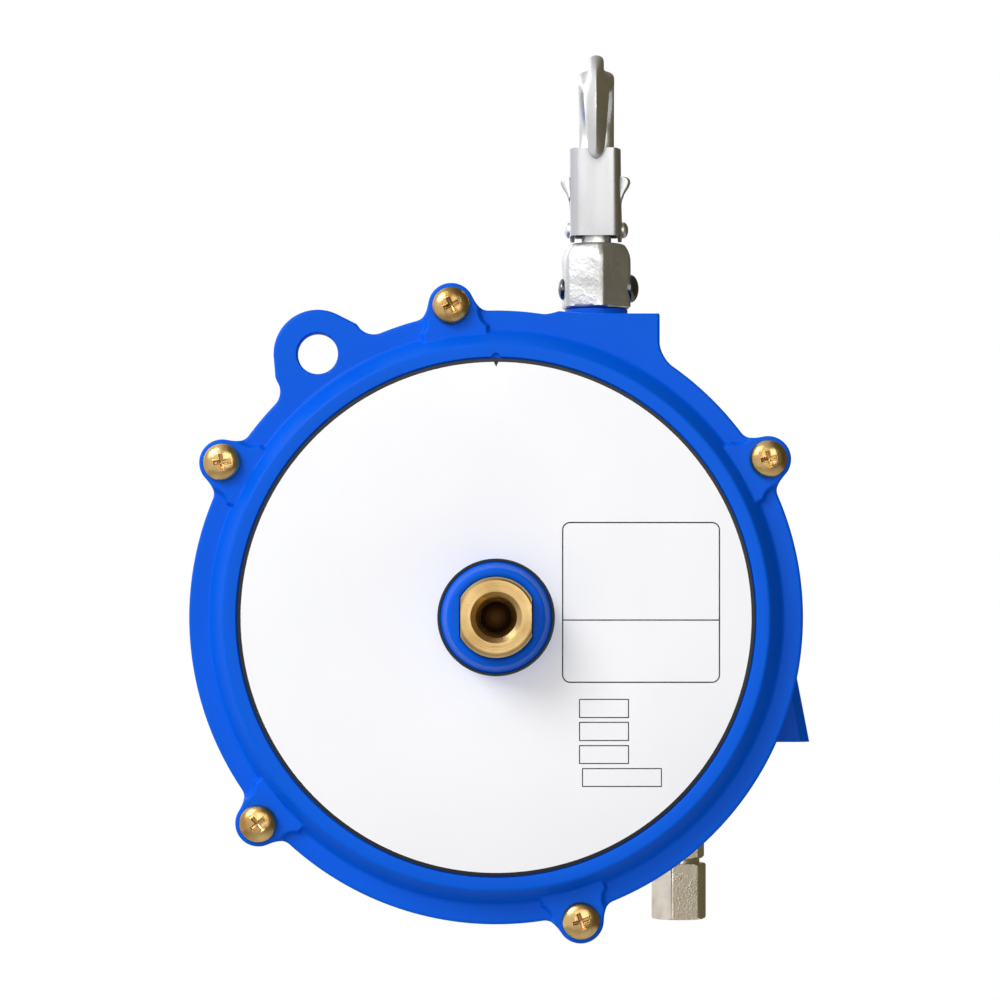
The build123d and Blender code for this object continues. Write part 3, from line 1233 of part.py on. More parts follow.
def hook_latch():
    """The bent sheet latch: front face, two side cheeks on the rivet and a finger tab on each."""
    half = LATCH_WIDTH / 2
    low = LATCH_BOTTOM_Z
    top = LATCH_TOP_Z
    eye = LATCH_EYE
    wrap = LATCH_HEAD - LATCH_FOOT
    cheek = make_face(Polyline((-eye, RIVET_Z + eye), (-eye, low), (LATCH_FOOT, low), (LATCH_HEAD, top),
                               (LATCH_FOOT, top), (wrap, RIVET_Z + 3 * wrap), close=True))
    body = side_plate(cheek, LATCH_WIDTH)
    inner_foot = LATCH_FOOT - LATCH_SHEET
    inner_head = LATCH_HEAD - LATCH_SHEET
    behind = -LATCH_HEAD
    inside = make_face(Polyline((behind, low - eye), (inner_foot, low - eye), (inner_foot, low),
                                (inner_head, top), (inner_head, top + eye), (behind, top + eye), close=True))
    body -= side_plate(inside, LATCH_WIDTH - 2 * LATCH_SHEET)
    low = RIVET_Z + TAB_LOW
    high = RIVET_Z + TAB_HIGH
    rise = TAB_HIGH - TAB_LOW
    tab = make_face(
        Polyline((half - LATCH_SHEET * 0.3, low), (half + TAB_PROUD * 0.15, low + rise * 0.35),
                 (half + TAB_PROUD, low + rise * 0.73), (half + TAB_PROUD * 0.81, low + rise * 0.955),
                 (half - LATCH_SHEET * 0.3, high), close=True)
    )
    wing = prism(tab, -TAB_FORWARD, -TAB_FORWARD + TAB_DEPTH)
    body += wing
    body += mirror(wing, Plane.YZ)
    body -= rod_x(RIVET_R + RUNNING_CLEARANCE, 0, RIVET_Z, -SOCKET_FLATS, SOCKET_FLATS)
    return at_hook(one(body))


# Export, moved so that the hook's bowl is the origin
parts = {
    "front_cover": front_cover,
    "name_plate": name_plate,
    "cover_screws": cover_screws,
    "rear_case": rear_case,
    "gear_cover": gear_cover,
    "gear_cover_screws": gear_cover_screws,
    "air_shaft": air_shaft,
    "shaft_screws": shaft_screws,
    "shaft_o_rings": shaft_o_rings,
    "drum_bushes": drum_bushes,
    "hose_drum": hose_drum,
    "wound_hose": wound_hose,
    "hose_nipple": hose_nipple,
    "spring_cover": spring_cover,
    "spring_cover_screws": spring_cover_screws,
    "mainspring": mainspring,
    "spring_arbor": spring_arbor,
    "arbor_bush": arbor_bush,
    "wheel_clip": wheel_clip,
    "wheel_key": wheel_key,
    "worm_wheel": worm_wheel,
    "worm": worm,
    "worm_bushes": worm_bushes,
    "hose_guide": hose_guide,
    "hose_run": hose_run,
    "hose_tail": hose_tail,
    "hose_stopper": hose_stopper,
    "hose_nut": hose_nut,
    "hose_fitting": hose_fitting,
    "hook": hook,
    "swivel_stud": swivel_stud,
    "stud_bush": stud_bush,
    "stud_washer": stud_washer,
    "stud_nut": stud_nut,
    "hook_pin": hook_pin,
    "latch_rivet": latch_rivet,
    "latch_spring": latch_spring,
    "hook_latch": hook_latch,
}

os.makedirs("parts", exist_ok=True)
to_origin = Pos(-HOOK_X, -HOOK_Y, -BOWL_Z)
for name, make in parts.items():
    export_step(to_origin * make(), f"parts/{name}.step")
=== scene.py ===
import json
import math

import bmesh
import bpy
import numpy as np
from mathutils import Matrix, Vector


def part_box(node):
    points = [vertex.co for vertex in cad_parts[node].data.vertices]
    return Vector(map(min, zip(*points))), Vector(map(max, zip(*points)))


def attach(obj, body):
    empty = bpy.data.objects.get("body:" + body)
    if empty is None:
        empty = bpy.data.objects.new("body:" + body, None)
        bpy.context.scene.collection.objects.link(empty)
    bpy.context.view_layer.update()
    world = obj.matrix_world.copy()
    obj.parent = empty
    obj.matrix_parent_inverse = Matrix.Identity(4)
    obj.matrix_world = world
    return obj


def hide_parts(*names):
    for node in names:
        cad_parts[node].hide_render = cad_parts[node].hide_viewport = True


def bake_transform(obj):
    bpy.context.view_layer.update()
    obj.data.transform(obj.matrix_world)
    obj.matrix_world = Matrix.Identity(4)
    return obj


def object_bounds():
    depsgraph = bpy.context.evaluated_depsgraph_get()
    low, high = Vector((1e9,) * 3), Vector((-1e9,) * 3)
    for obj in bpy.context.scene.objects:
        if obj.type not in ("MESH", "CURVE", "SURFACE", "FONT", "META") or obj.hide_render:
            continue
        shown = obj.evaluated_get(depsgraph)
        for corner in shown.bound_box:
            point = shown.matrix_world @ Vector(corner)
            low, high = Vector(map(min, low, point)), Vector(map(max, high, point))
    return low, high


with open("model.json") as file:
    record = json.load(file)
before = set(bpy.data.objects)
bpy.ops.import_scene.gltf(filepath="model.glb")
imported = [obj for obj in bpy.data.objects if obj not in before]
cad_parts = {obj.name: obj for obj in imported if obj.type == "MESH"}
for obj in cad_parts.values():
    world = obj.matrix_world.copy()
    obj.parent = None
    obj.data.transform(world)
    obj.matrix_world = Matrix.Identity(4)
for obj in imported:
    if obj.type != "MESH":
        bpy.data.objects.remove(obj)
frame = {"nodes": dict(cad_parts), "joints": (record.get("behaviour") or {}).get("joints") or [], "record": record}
cad_low, cad_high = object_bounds()

# The camera stands where the photographer stood: about a metre in front of the face plate, level with the drum's
# shaft. The picture is framed higher than the lens looks, so the view is shifted rather than tilted.
mm = 0.001
add_to_scene = bpy.context.scene.collection.objects.link
drum_x, _, drum_z = next(j for j in frame["joints"] if j["name"] == "drum_spin")["pos_m"]
boss_proud = 8.0
land_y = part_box("front_cover")[0].y + boss_proud * mm
camera_distance = 1.06
picture_width = 0.270
shaft_pixel = (496.1, 617.4)
lens_data = bpy.data.cameras.new("photo_lens")
lens_data.sensor_width = 36.0
lens_data.lens = 36.0 * camera_distance / picture_width
lens_data.shift_x = (500.0 - shaft_pixel[0]) / 1000.0
lens_data.shift_y = (shaft_pixel[1] - 500.0) / 1000.0
lens_data.clip_start = 0.05
lens_data.clip_end = 30.0
photo_camera = bpy.data.objects.new("photo_camera", lens_data)
photo_camera.location = (drum_x, land_y - camera_distance, drum_z)
photo_camera.rotation_euler = (math.pi / 2, 0.0, 0.0)
add_to_scene(photo_camera)
bpy.context.scene.camera = photo_camera
bpy.context.scene.view_settings.view_transform = "Standard"

# The studio: a pale floor below the reach of the pulled hose, and soft lamps in a room that is bright to the left and
# dark and warm to the right. The camera sees the room as plain white; the object is lit by the lamps and the room.
floor_drop = 1.45
floor_half = 3.0


def wired(tree, kind, inputs, **settings):
    """A new node in a tree. Each input, by name or number, takes a value or a link from another node's output."""
    node = tree.nodes.new("ShaderNode" + kind)
    for name, value in settings.items():
        setattr(node, name, value)
    for name, value in inputs.items():
        if isinstance(value, bpy.types.NodeSocket):
            tree.links.new(value, node.inputs[name])
        else:
            node.inputs[name].default_value = value
    return node


def toned(tree, share, low, low_colour, high, high_colour):
    """A colour that runs from one to another while a share runs from low to high."""
    ramp = wired(tree, "ValToRGB", {0: share})
    for stop, position, colour in zip(ramp.color_ramp.elements, (low, high), (low_colour, high_colour)):
        stop.position = position
        stop.color = (*colour, 1)
    return ramp.outputs[0]


def new_material(name):
    """An empty node material, with its tree and its surface shader."""
    kit = bpy.data.materials.new(name)
    kit.use_nodes = True
    return kit, kit.node_tree, kit.node_tree.nodes["Principled BSDF"]


def seen_or_not(tree, seen, unseen, output):
    """Links one shader to the output for the camera's own rays and another for every other ray."""
    ray = wired(tree, "LightPath", {})
    mix = wired(tree, "MixShader", {0: ray.outputs["Is Camera Ray"], 1: unseen.outputs[0], 2: seen.outputs[0]})
    tree.links.new(mix.outputs[0], tree.nodes[output].inputs["Surface"])


def studio_panel(name, corners, shade, glow_strength):
    """A flat panel through four corners, brightened for the camera and shaded by light otherwise."""
    panel_mesh = bpy.data.meshes.new(name)
    panel_mesh.from_pydata([tuple(c) for c in corners], [], [(0, 1, 2, 3)])
    panel = bpy.data.objects.new(name, panel_mesh)
    add_to_scene(panel)
    card, tree, matte = new_material(name + "_card")
    matte.inputs["Base Color"].default_value = (shade, shade, shade, 1)
    matte.inputs["Roughness"].default_value = 0.9
    glow = wired(tree, "Emission", {"Strength": glow_strength})
    both = wired(tree, "AddShader", {0: matte.outputs[0], 1: glow.outputs[0]})
    seen_or_not(tree, both, matte, "Material Output")
    panel_mesh.materials.append(card)


floor_z = cad_low.z - floor_drop
corners = [(side_x * floor_half, side_y * floor_half, floor_z)
           for side_x, side_y in ((-1, -1), (1, -1), (1, 1), (-1, 1))]
studio_panel("studio_floor", corners, 0.82, 0.75)

room = bpy.data.worlds.new("studio_room")
room.use_nodes = True
bpy.context.scene.world = room
room_tree = room.node_tree
room_axes = wired(room_tree, "SeparateXYZ", {0: wired(room_tree, "TexCoord", {}).outputs["Generated"]})
room_side = wired(room_tree, "MapRange", {"From Min": -1.0, "Value": room_axes.outputs["X"]})
bright_left, dark_right = (1.50, 1.52, 1.60), (0.20, 0.175, 0.10)
room_light = room_tree.nodes["Background"]
room_light.inputs["Strength"].default_value = 0.57
room_tree.links.new(toned(room_tree, room_side.outputs[0], 0.30, bright_left, 0.66, dark_right),
                    room_light.inputs["Color"])
room_white = wired(room_tree, "Background", {"Color": (1, 1, 1, 1), "Strength": 1.0})
seen_or_not(room_tree, room_white, room_light, "World Output")


def soft_lamp(name, place, aim, size, watts):
    """A square white area lamp at a place, turned towards a point."""
    lamp_data = bpy.data.lights.new(name, "AREA")
    lamp_data.shape = "SQUARE"
    lamp_data.size = size
    lamp_data.energy = watts
    lamp = bpy.data.objects.new(name, lamp_data)
    add_to_scene(lamp)
    lamp.location = place
    toward = np.array(aim) - np.array(place)
    flat = math.hypot(toward[0], toward[1])
    lamp.rotation_euler = (math.atan2(flat, -toward[2]), 0.0, math.atan2(-toward[0], toward[1]))


middle = (drum_x, land_y, drum_z)
for name, offset, size, watts in (("key_lamp", (-0.9, -0.95, 0.95), 0.7, 13.4),
                                  ("front_lamp", (0.25, -1.7, 0.35), 1.2, 8.7),
                                  ("back_lamp", (-0.9, 1.3, 0.7), 1.0, 3.0)):
    soft_lamp(name, [at + step for at, step in zip(middle, offset)], middle, size, watts)

# The front cover is one aluminium die casting, powder coated blue: a dished face round the shaft's boss, a sloped
# shoulder down to the flange, five screw ears on raised pads, the safety lug and the flat platform under the hook.
flange_r = 83.5
flange_front = 7.0
parting = 13.0
land_r = 74.0
rim_start_r = 76.0
slope_r = 78.0
recess_r = 70.3
recess_deep = 1.0
boss_top_r = 13.2
flat_half = 9.5
flat_seat = 2.4
boss_base_r = 15.0
bore_r = 10.85
screw_angles = (30.2, 98.2, 150.5, 220.9, 285.6)
screw_circle = 85.4
ear_r = 6.3
root_fillet = 4.0
pad_front = 5.0
pad_half = 8.5
pad_slope = 2.2
pad_inward = 20.0
pad_away = 50.0
scoop_r = 5.0
scoop_back = 3.0
scoop_side = 11.8
lug_angle = 124.1
lug_circle = 86.6
lug_r = 12.0
lug_half = 13.35
lug_step = 0.7
lug_hole_r = 5.5
platform = ((15.9, 60.0), (15.9, 81.4), (17.2, 82.7), (44.5, 82.7), (44.5, 60.0))
edge_round = 0.9


def polygon_distance(x, z, corners):
    """Distance from a polygon's line, negative inside: the nearest of its edges, with the sign of the winding count."""
    near = np.full(np.broadcast(x, z).shape, 1e9)
    inside = np.zeros(near.shape, bool)
    for (ax, az), (bx, bz) in zip(corners, corners[1:] + corners[:1]):
        ex, ez = bx - ax, bz - az
        share = np.clip(((x - ax) * ex + (z - az) * ez) / (ex * ex + ez * ez), 0.0, 1.0)
        near = np.minimum(near, np.hypot(x - ax - share * ex, z - az - share * ez))
        crosses = ((az > z) != (bz > z)) & (x < ax + (z - az) * ex / np.where(ez == 0, 1e-9, ez))
        inside ^= crosses
    return np.where(inside, -near, near)


def filleted(a, b, radius):
    """Two distance fields joined, with a round fillet of that radius in the inner corner."""
    return np.maximum(radius, np.minimum(a, b)) - np.hypot(np.maximum(radius - a, 0), np.maximum(radius - b, 0))


def softer(a, b, width):
    """The smaller of two heights, with the corner between them rounded over a width."""
    share = np.clip(0.5 + 0.5 * (b - a) / width, 0.0, 1.0)
    return b + (a - b) * share - width * share * (1 - share)


def turned_about(x, z, angle, radius):
    """A point in an ear's own axes: n outwards from the ear's centre and t along the rim."""
    c, s = math.cos(math.radians(angle)), math.sin(math.radians(angle))
    return x * c + z * s - radius, z * c - x * s


def lug_distance(x, z):
    """The safety lug's field: its round end joined to flaring flanks that end in a short straight step."""
    n, t = turned_about(x, z, lug_angle, lug_circle)
    reach = math.hypot(lug_half, lug_step)
    tangent = math.acos(lug_r / reach) + math.atan2(lug_step, lug_half)
    tx, ty = lug_r * math.cos(tangent), lug_r * math.sin(tangent)
    flanks = [(-14.0, -lug_half), (lug_step, -lug_half), (ty, -tx), (ty, tx), (lug_step, lug_half), (-14.0, lug_half)]
    return np.minimum(np.hypot(n, t) - lug_r, polygon_distance(n, t, flanks))


def rim_distance(x, z):
    """The flange's field: circle, platform, ears and lug."""
    block = polygon_distance(x, z, list(platform))
    field = filleted(np.hypot(x, z) - flange_r, block, root_fillet * 0.9)
    for angle in screw_angles:
        n, t = turned_about(x, z, angle, screw_circle)
        field = filleted(field, np.hypot(n, t) - ear_r, root_fillet)
    return filleted(field, lug_distance(x, z), root_fillet)


def rim_columns(features, coarse, fine):
    """Angles round the rim, in radians: steps of coarse degrees, closing up to fine degrees at each feature."""
    sample = np.linspace(0.0, 360.0, 14401)
    step = np.full(sample.shape, coarse)
    for centre, half in features:
        away = np.abs((sample - centre + 180.0) % 360.0 - 180.0)
        step = np.minimum(step, fine + (coarse - fine) * np.clip((away - half) / 3.0, 0.0, 1.0))
    travelled = np.concatenate([[0.0], np.cumsum(0.5 * (1 / step[1:] + 1 / step[:-1]) * np.diff(sample))])
    count = int(round(travelled[-1]))
    return np.radians(np.interp(np.arange(count) * travelled[-1] / count, travelled, sample))


def rim_reach(turn):
    """Radius of the rim's outline along each ray, found by halving the interval where the field changes sign."""
    low, high = np.full(turn.shape, flange_r - 2.0), np.full(turn.shape, 102.0)
    for _ in range(36):
        half = (low + high) / 2
        outside = rim_distance(half * np.cos(turn), half * np.sin(turn)) > 0
        high = np.where(outside, half, high)
        low = np.where(outside, low, half)
    return (low + high) / 2


def rounded_profile(points, steps=4):
    """A profile with rounded corners from (radius, height, corner rounding) points: each corner is a quadratic curve
    between the points that lie its rounding away along both of its sides."""
    line = []
    for i, (r, y, rounding) in enumerate(points):
        if rounding == 0 or i in (0, len(points) - 1):
            line.append((r, y))
            continue
        here = np.array((r, y))
        sides = [np.array(points[k][:2]) - here for k in (i - 1, i + 1)]
        start, end = [here + rounding * side / np.linalg.norm(side) for side in sides]
        for share in np.linspace(0.0, 1.0, steps + 1):
            line.append(tuple((1 - share) ** 2 * start + 2 * share * (1 - share) * here + share**2 * end))
    return np.array(line)


def pad_height(x, z):
    """Height of the screw pads: flat at their face, with steep scooped flanks on both sides of each screw, and lifted
    away further in than a pad reaches, so that none shows on the far side of the rim."""
    height = np.full(np.broadcast(x, z).shape, 1e3)
    for angle in screw_angles:
        n, t = turned_about(x, z, angle, screw_circle)
        side = np.abs(t)
        away = np.maximum(side - pad_half, scoop_r - np.hypot(n + scoop_back, side - scoop_side))
        height = np.minimum(height, pad_front + pad_slope * np.maximum(away, 0.0) + pad_away * (n < -pad_inward))
    return height


def skin(name, grid, body, material, wrap=(True, True), crease=32.0):
    """A closed mesh over a grid of points in drum millimetres: four-sided faces between neighbours, welded at seams and
    poles, faced outwards, smooth except along edges that turn by more than the crease angle."""
    rows, cols = grid.shape[:2]
    i = np.arange(rows if wrap[0] else rows - 1)[:, None]
    j = np.arange(cols if wrap[1] else cols - 1)[None, :]
    a, b = i * cols + j, ((i + 1) % rows) * cols + j
    c, d = ((i + 1) % rows) * cols + (j + 1) % cols, i * cols + (j + 1) % cols
    quads = np.stack(np.broadcast_arrays(a, b, c, d), axis=-1).reshape(-1, 4)
    place = grid.reshape(-1, 3) * mm + np.array((drum_x, land_y, drum_z))
    mesh = bpy.data.meshes.new(name)
    mesh.from_pydata(place.tolist(), [], quads.tolist())
    return finish_mesh(name, mesh, body, material, crease)


def finish_mesh(name, mesh, body, material, crease=32.0):
    """Welds a mesh, faces it outwards, marks its sharp edges by angle and puts it on its body."""
    work = bmesh.new()
    work.from_mesh(mesh)
    bmesh.ops.remove_doubles(work, verts=work.verts, dist=2e-7)
    bmesh.ops.dissolve_degenerate(work, edges=work.edges, dist=1e-8)
    bmesh.ops.recalc_face_normals(work, faces=work.faces)
    limit = math.radians(crease)
    for face in work.faces:
        face.smooth = True
    for edge in work.edges:
        edge.smooth = not (edge.is_manifold and edge.calc_face_angle(0.0) > limit)
    work.to_mesh(mesh)
    work.free()
    piece = bpy.data.objects.new(name, mesh)
    add_to_scene(piece)
    if material:
        mesh.materials.append(material)
    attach(piece, body)
    return piece


def noise(tree, vector, scale, detail=2.0):
    """The height of a noise texture at a scale."""
    return wired(tree, "TexNoise", {"Vector": vector, "Scale": scale, "Detail": detail}).outputs["Fac"]


def bumped(tree, height, depth, strength, below=None):
    """A normal raised by a height of so many metres, over another normal if there is one."""
    inputs = {"Height": height, "Distance": depth, "Strength": strength}
    return wired(tree, "Bump", {**inputs, "Normal": below} if below else inputs).outputs[0]


def powder_coat():
    """Blue powder coat: even colour, a faint orange peel over slow waves left by the casting."""
    coat, tree, paint = new_material("powder_coat_blue")
    paint.inputs["Specular IOR Level"].default_value = 0.08
    where = wired(tree, "TexCoord", {}).outputs["Object"]
    drift = noise(tree, where, 22.0, 3.0)
    tone = toned(tree, drift, 0.3, (0.0003, 0.098, 0.66), 0.7, (0.0006, 0.112, 0.74))
    tree.links.new(tone, paint.inputs["Base Color"])
    gloss = wired(tree, "MapRange", {"To Min": 0.36, "To Max": 0.46, "Value": drift})
    tree.links.new(gloss.outputs[0], paint.inputs["Roughness"])
    peel = bumped(tree, noise(tree, where, 900.0), 0.00006, 0.12)
    tree.links.new(bumped(tree, noise(tree, where, 120.0), 0.0002, 0.25, peel), paint.inputs["Normal"])
    return coat


powder_blue = powder_coat()
features = [(angle, 8.0) for angle in screw_angles] + [(lug_angle, 12.0), (68.0, 13.0), (90.0, 1.2)]
cover_turn = rim_columns(features, 1.0, 0.26)
cover_reach = rim_reach(cover_turn)
front_profile = rounded_profile([
    (bore_r, flat_seat + 0.2, 0), (bore_r, flat_seat, 0), (bore_r, -boss_proud + 0.5, 0),
    (bore_r + 0.5, -boss_proud, 0), (boss_top_r, -boss_proud, 0.9), (boss_base_r, recess_deep, 0.8),
    (recess_r, recess_deep, 0.25), (recess_r, 0.0, 0.35), (land_r, 0.0, 0.7), (rim_start_r, 3.5, 0),
])
cu, su = np.cos(cover_turn)[:, None], np.sin(cover_turn)[:, None]
front_r = np.repeat(front_profile[None, :, 0], len(cover_turn), axis=0)
front_y = np.repeat(front_profile[None, :, 1], len(cover_turn), axis=0)
notch_r = 1.05
arc_from_top = recess_r * np.abs(cover_turn - math.pi / 2)[:, None]
notch = np.sqrt(np.maximum(notch_r**2 - arc_from_top**2, 0.0))
on_wall = (np.abs(front_profile[:, 0] - recess_r) < 0.4)[None, :]
front_r = front_r + notch * on_wall
flat_reach = (flat_half + 0.12) / np.maximum(np.abs(np.cos(cover_turn)), 1e-6)[:, None]
front_r[:, 1:4] = np.minimum(front_r[:, 1:4], flat_reach + np.array((0.0, 0.0, 0.35)))
share = 1 - (1 - np.linspace(0.0, 1.0, 44)[None, 1:]) ** 1.35
rim_r = rim_start_r + (cover_reach[:, None] - rim_start_r) * share
rim_x, rim_z = rim_r * cu, rim_r * su
slope = (rim_r - land_r) * flange_front / (slope_r - land_r)
rim_y = softer(softer(slope, np.full_like(slope, flange_front), 0.9), pad_height(rim_x, rim_z), 0.35)
inward = np.clip(edge_round + rim_distance(rim_x, rim_z), 0.0, edge_round)
rim_y = rim_y + edge_round - np.sqrt(edge_round**2 - inward**2)
wall_r = np.repeat(cover_reach[:, None], 3, axis=1)
wall_y = rim_y[:, -1:] + (parting - rim_y[:, -1:]) * np.array([[0.25, 0.7, 1.0]])
back_profile = np.array([
    (75.0, parting), (74.9, 15.5), (72.5, 15.5), (72.5, 8.5), (70.5, 4.5), (19.0, 4.5), (17.0, 6.5),
    (17.0, parting), (bore_r, parting),
])
back_r = np.repeat(back_profile[None, :, 0], len(cover_turn), axis=0)
back_y = np.repeat(back_profile[None, :, 1], len(cover_turn), axis=0)
cover_r = np.concatenate([front_r, rim_r, wall_r, back_r], axis=1)
cover_y = np.concatenate([front_y, rim_y, wall_y, back_y], axis=1)
cover_grid = np.stack([cover_r * cu, cover_y, cover_r * su], axis=-1)
cover = skin("cover_casting", cover_grid, "case", powder_blue, crease=50.0)
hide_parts("front_cover")


def lathe(profile, turns=96, about="y", centre=(0.0, 0.0, 0.0)):
    """Grid of a turned shape: each (radius, along) point of the profile carried round an axis through the centre."""
    turn = np.linspace(0.0, 2 * math.pi, turns, endpoint=False)[:, None]
    r, along = profile[None, :, 0], profile[None, :, 1]
    ring_a, ring_b = r * np.cos(turn), r * np.sin(turn)
    length = along + np.zeros_like(ring_a)
    order = {"y": (ring_a, length, ring_b), "z": (ring_a, ring_b, length), "x": (length, ring_a, ring_b)}[about]
    return np.stack(order, axis=-1) + np.array(centre)


# The lug's hole is drilled after casting, with both rims rounded by the coat.
lug_x = lug_circle * math.cos(math.radians(lug_angle))
lug_z = lug_circle * math.sin(math.radians(lug_angle))
drill_profile = rounded_profile([
    (0.0, 4.0, 0), (lug_hole_r + 3.5, 4.0, 0), (lug_hole_r, flange_front + 0.2, 0.9), (lug_hole_r, parting - 0.2, 0.9),
    (lug_hole_r + 3.5, parting + 3.0, 0), (0.0, parting + 3.0, 0),
], steps=6)
drill = skin("lug_drill", lathe(drill_profile, 96, "y", (lug_x, 0.0, lug_z)), "case", None, wrap=(True, False))
cut = cover.modifiers.new("lug_hole", "BOOLEAN")
cut.operation = "DIFFERENCE"
cut.solver = "EXACT"
cut.object = drill
bpy.context.view_layer.update()
drilled = bpy.data.meshes.new_from_object(cover.evaluated_get(bpy.context.evaluated_depsgraph_get()))
cover.modifiers.clear()
cover.data = drilled
bpy.data.objects.remove(drill)

# The name plate is a round sheet of white enamelled aluminium that drops into the cover's recess. Its outer rim is
# printed black; the black band round its hole is painted shade of the gap between plate and boss, and the empty panel
# and boxes on its face are thin black ink lines.
plate_front = 0.4
plate_outer = 70.0
# The plate reaches in to 15.15 mm so that its black inner band, painted shade, covers the gap to the boss.
plate_inner = 15.15
print_outer = 69.0
gap_shade_r = 15.9
ink_proud = 0.03


def grain(tree, vector, layers):
    """Bumps stacked on each other from (kind, scale, depth in metres, strength) layers; hands back the normal."""
    normal = None
    for sort, scale, depth, strength in layers:
        if sort == "pits":
            inputs = {"Vector": vector, "Scale": scale}
            height = wired(tree, "TexVoronoi", inputs, feature="SMOOTH_F1").outputs["Distance"]
        else:
            height = noise(tree, vector, scale, 3.0)
        normal = bumped(tree, height, depth, strength, normal)
    return normal


def finish(name, metal, bright, dull, scale, gloss, layers, specular=0.5, stretch=(1, 1, 1)):
    """A surface finish on Object coordinates: two colours stained into each other by slow noise, a roughness that
    follows the stain, and layers of fine grain."""
    kit, tree, shader = new_material(name)
    shader.inputs["Metallic"].default_value = metal
    shader.inputs["Specular IOR Level"].default_value = specular
    where = wired(tree, "TexCoord", {}).outputs["Object"]
    place = wired(tree, "Mapping", {"Scale": stretch, "Vector": where}).outputs[0]
    stain = noise(tree, place, scale, 4.0)
    tree.links.new(toned(tree, stain, 0.35, dull, 0.65, bright), shader.inputs["Base Color"])
    limits = {"From Min": 0.3, "From Max": 0.7, "To Min": gloss[1], "To Max": gloss[0]}
    polish = wired(tree, "MapRange", {**limits, "Value": stain})
    tree.links.new(polish.outputs[0], shader.inputs["Roughness"])
    tree.links.new(grain(tree, place, layers), shader.inputs["Normal"])
    return kit


def axis_radius(tree):
    """The distance from the shaft's axis, in metres."""
    where = wired(tree, "TexCoord", {}).outputs["Object"]
    centred = wired(tree, "Mapping", {"Location": (-drum_x, 0.0, -drum_z), "Scale": (1, 0, 1), "Vector": where})
    return wired(tree, "VectorMath", {0: centred.outputs[0]}, operation="LENGTH").outputs["Value"]


def recoloured(tree, shader, share, other):
    """Mixes a plain colour in wherever a share falls to zero."""
    own = shader.inputs["Base Color"].links[0].from_socket
    mix = wired(tree, "Mix", {"A": (*other, 1), "Factor": share, "B": own}, data_type="RGBA")
    tree.links.new(mix.outputs["Result"], shader.inputs["Base Color"])


def plate_enamel():
    """White enamel with a black rim printed at its edge and a black band of painted shade round its hole: bands of
    radius about the shaft's axis.
    """
    kit = finish("plate_enamel", 0.0, (0.935, 0.937, 0.955), (0.915, 0.918, 0.94), 30.0, (0.30, 0.38),
                 [("noise", 260.0, 0.00004, 0.12)], specular=0.35)
    tree = kit.node_tree
    radius = axis_radius(tree)
    # Below 15.9 mm the plate is black as painted shade of the gap round the boss; beyond 69 mm it is black as the
    # printed rim.
    inside = wired(tree, "Math", {0: radius, 1: gap_shade_r * mm}, operation="GREATER_THAN")
    outside = wired(tree, "Math", {0: radius, 1: print_outer * mm}, operation="LESS_THAN")
    field = wired(tree, "Math", {0: inside.outputs[0], 1: outside.outputs[0]}, operation="MULTIPLY")
    recoloured(tree, tree.nodes["Principled BSDF"], field.outputs[0], (0.006, 0.006, 0.008))
    return kit


plate_profile = rounded_profile([
    (40.0, recess_deep, 0), (plate_inner, recess_deep, 0.05), (plate_inner, plate_front, 0.12),
    (plate_outer, plate_front, 0.12), (plate_outer, recess_deep, 0.05), (41.0, recess_deep, 0),
])
plate = skin("face_plate", lathe(plate_profile, 240), "case", plate_enamel(), crease=50.0)
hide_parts("name_plate")


def ink_frame(left, bottom, right, top, corner, width):
    """Grid of one printed box: a flat strip of ink carried round a rectangle with quarter-round corners."""
    turn = np.linspace(0.0, 2 * math.pi, 64, endpoint=False) + 0.02
    sx, sz = np.sign(np.cos(turn)), np.sign(np.sin(turn))
    mid_x, mid_z = (left + right) / 2, (bottom + top) / 2
    core_x, core_z = (right - left) / 2 - corner, (top - bottom) / 2 - corner
    rows = []
    for reach, y in ((0.0, 0.0), (0.0, -ink_proud), (width, -ink_proud), (width, 0.0)):
        rows.append(np.stack([mid_x + sx * core_x + (corner - reach) * np.cos(turn), plate_front + y + 0 * turn,
                              mid_z + sz * core_z + (corner - reach) * np.sin(turn)], axis=-1))
    return np.stack(rows)


def ink_mark(corners):
    """Grid of a small printed mark: a flat polygon of ink, closed to its middle on both faces."""
    line = np.array(corners)
    centre = np.broadcast_to(line.mean(axis=0), line.shape)
    rows = [(centre, 0.0), (line, 0.0), (line, -ink_proud), (centre, -ink_proud)]
    return np.stack([np.stack([p[:, 0], plate_front + y + 0 * p[:, 0], p[:, 1]], axis=-1) for p, y in rows])


def skins(name, grids, body, material, wrap=(True, True), crease=32.0):
    """Several closed grids made one piece: each is built as a skin, and the skins are joined."""
    shells = [skin(f"{name}_{k}", grid, body, material, wrap, crease) for k, grid in enumerate(grids)]
    work = bmesh.new()
    for shell in shells:
        work.from_mesh(shell.data)
    mesh = bpy.data.meshes.new(name)
    work.to_mesh(mesh)
    work.free()
    for shell in shells:
        bpy.data.objects.remove(shell)
    mesh.materials.append(material)
    piece = bpy.data.objects.new(name, mesh)
    add_to_scene(piece)
    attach(piece, body)
    return piece


plate_ink = finish("plate_ink", 0.0, (0.012, 0.012, 0.014), (0.008, 0.008, 0.01), 300.0, (0.4, 0.5),
                   [("noise", 2000.0, 0.00001, 0.1)], specular=0.3)
boxes = ((22.4, -27.2, 35.9, -22.0), (22.4, -33.4, 35.9, -28.2), (22.4, -39.6, 35.9, -34.5), (23.2, -45.8, 44.8, -40.7))
frames = [ink_frame(17.8, -17.7, 60.5, 25.8, corner=2.2, width=0.34)]
frames += [ink_frame(*box, corner=0.2, width=0.28) for box in boxes]
prints = skins("plate_prints", frames, "case", plate_ink)
marks = skins("plate_marks", [
    ink_mark([(-0.75, 69.3), (0.0, 67.7), (0.75, 69.3)]),
    ink_mark([(17.9, -0.55), (17.9, -0.88), (60.4, -0.88), (60.4, -0.55)]),
], "case", plate_ink, wrap=(False, True))

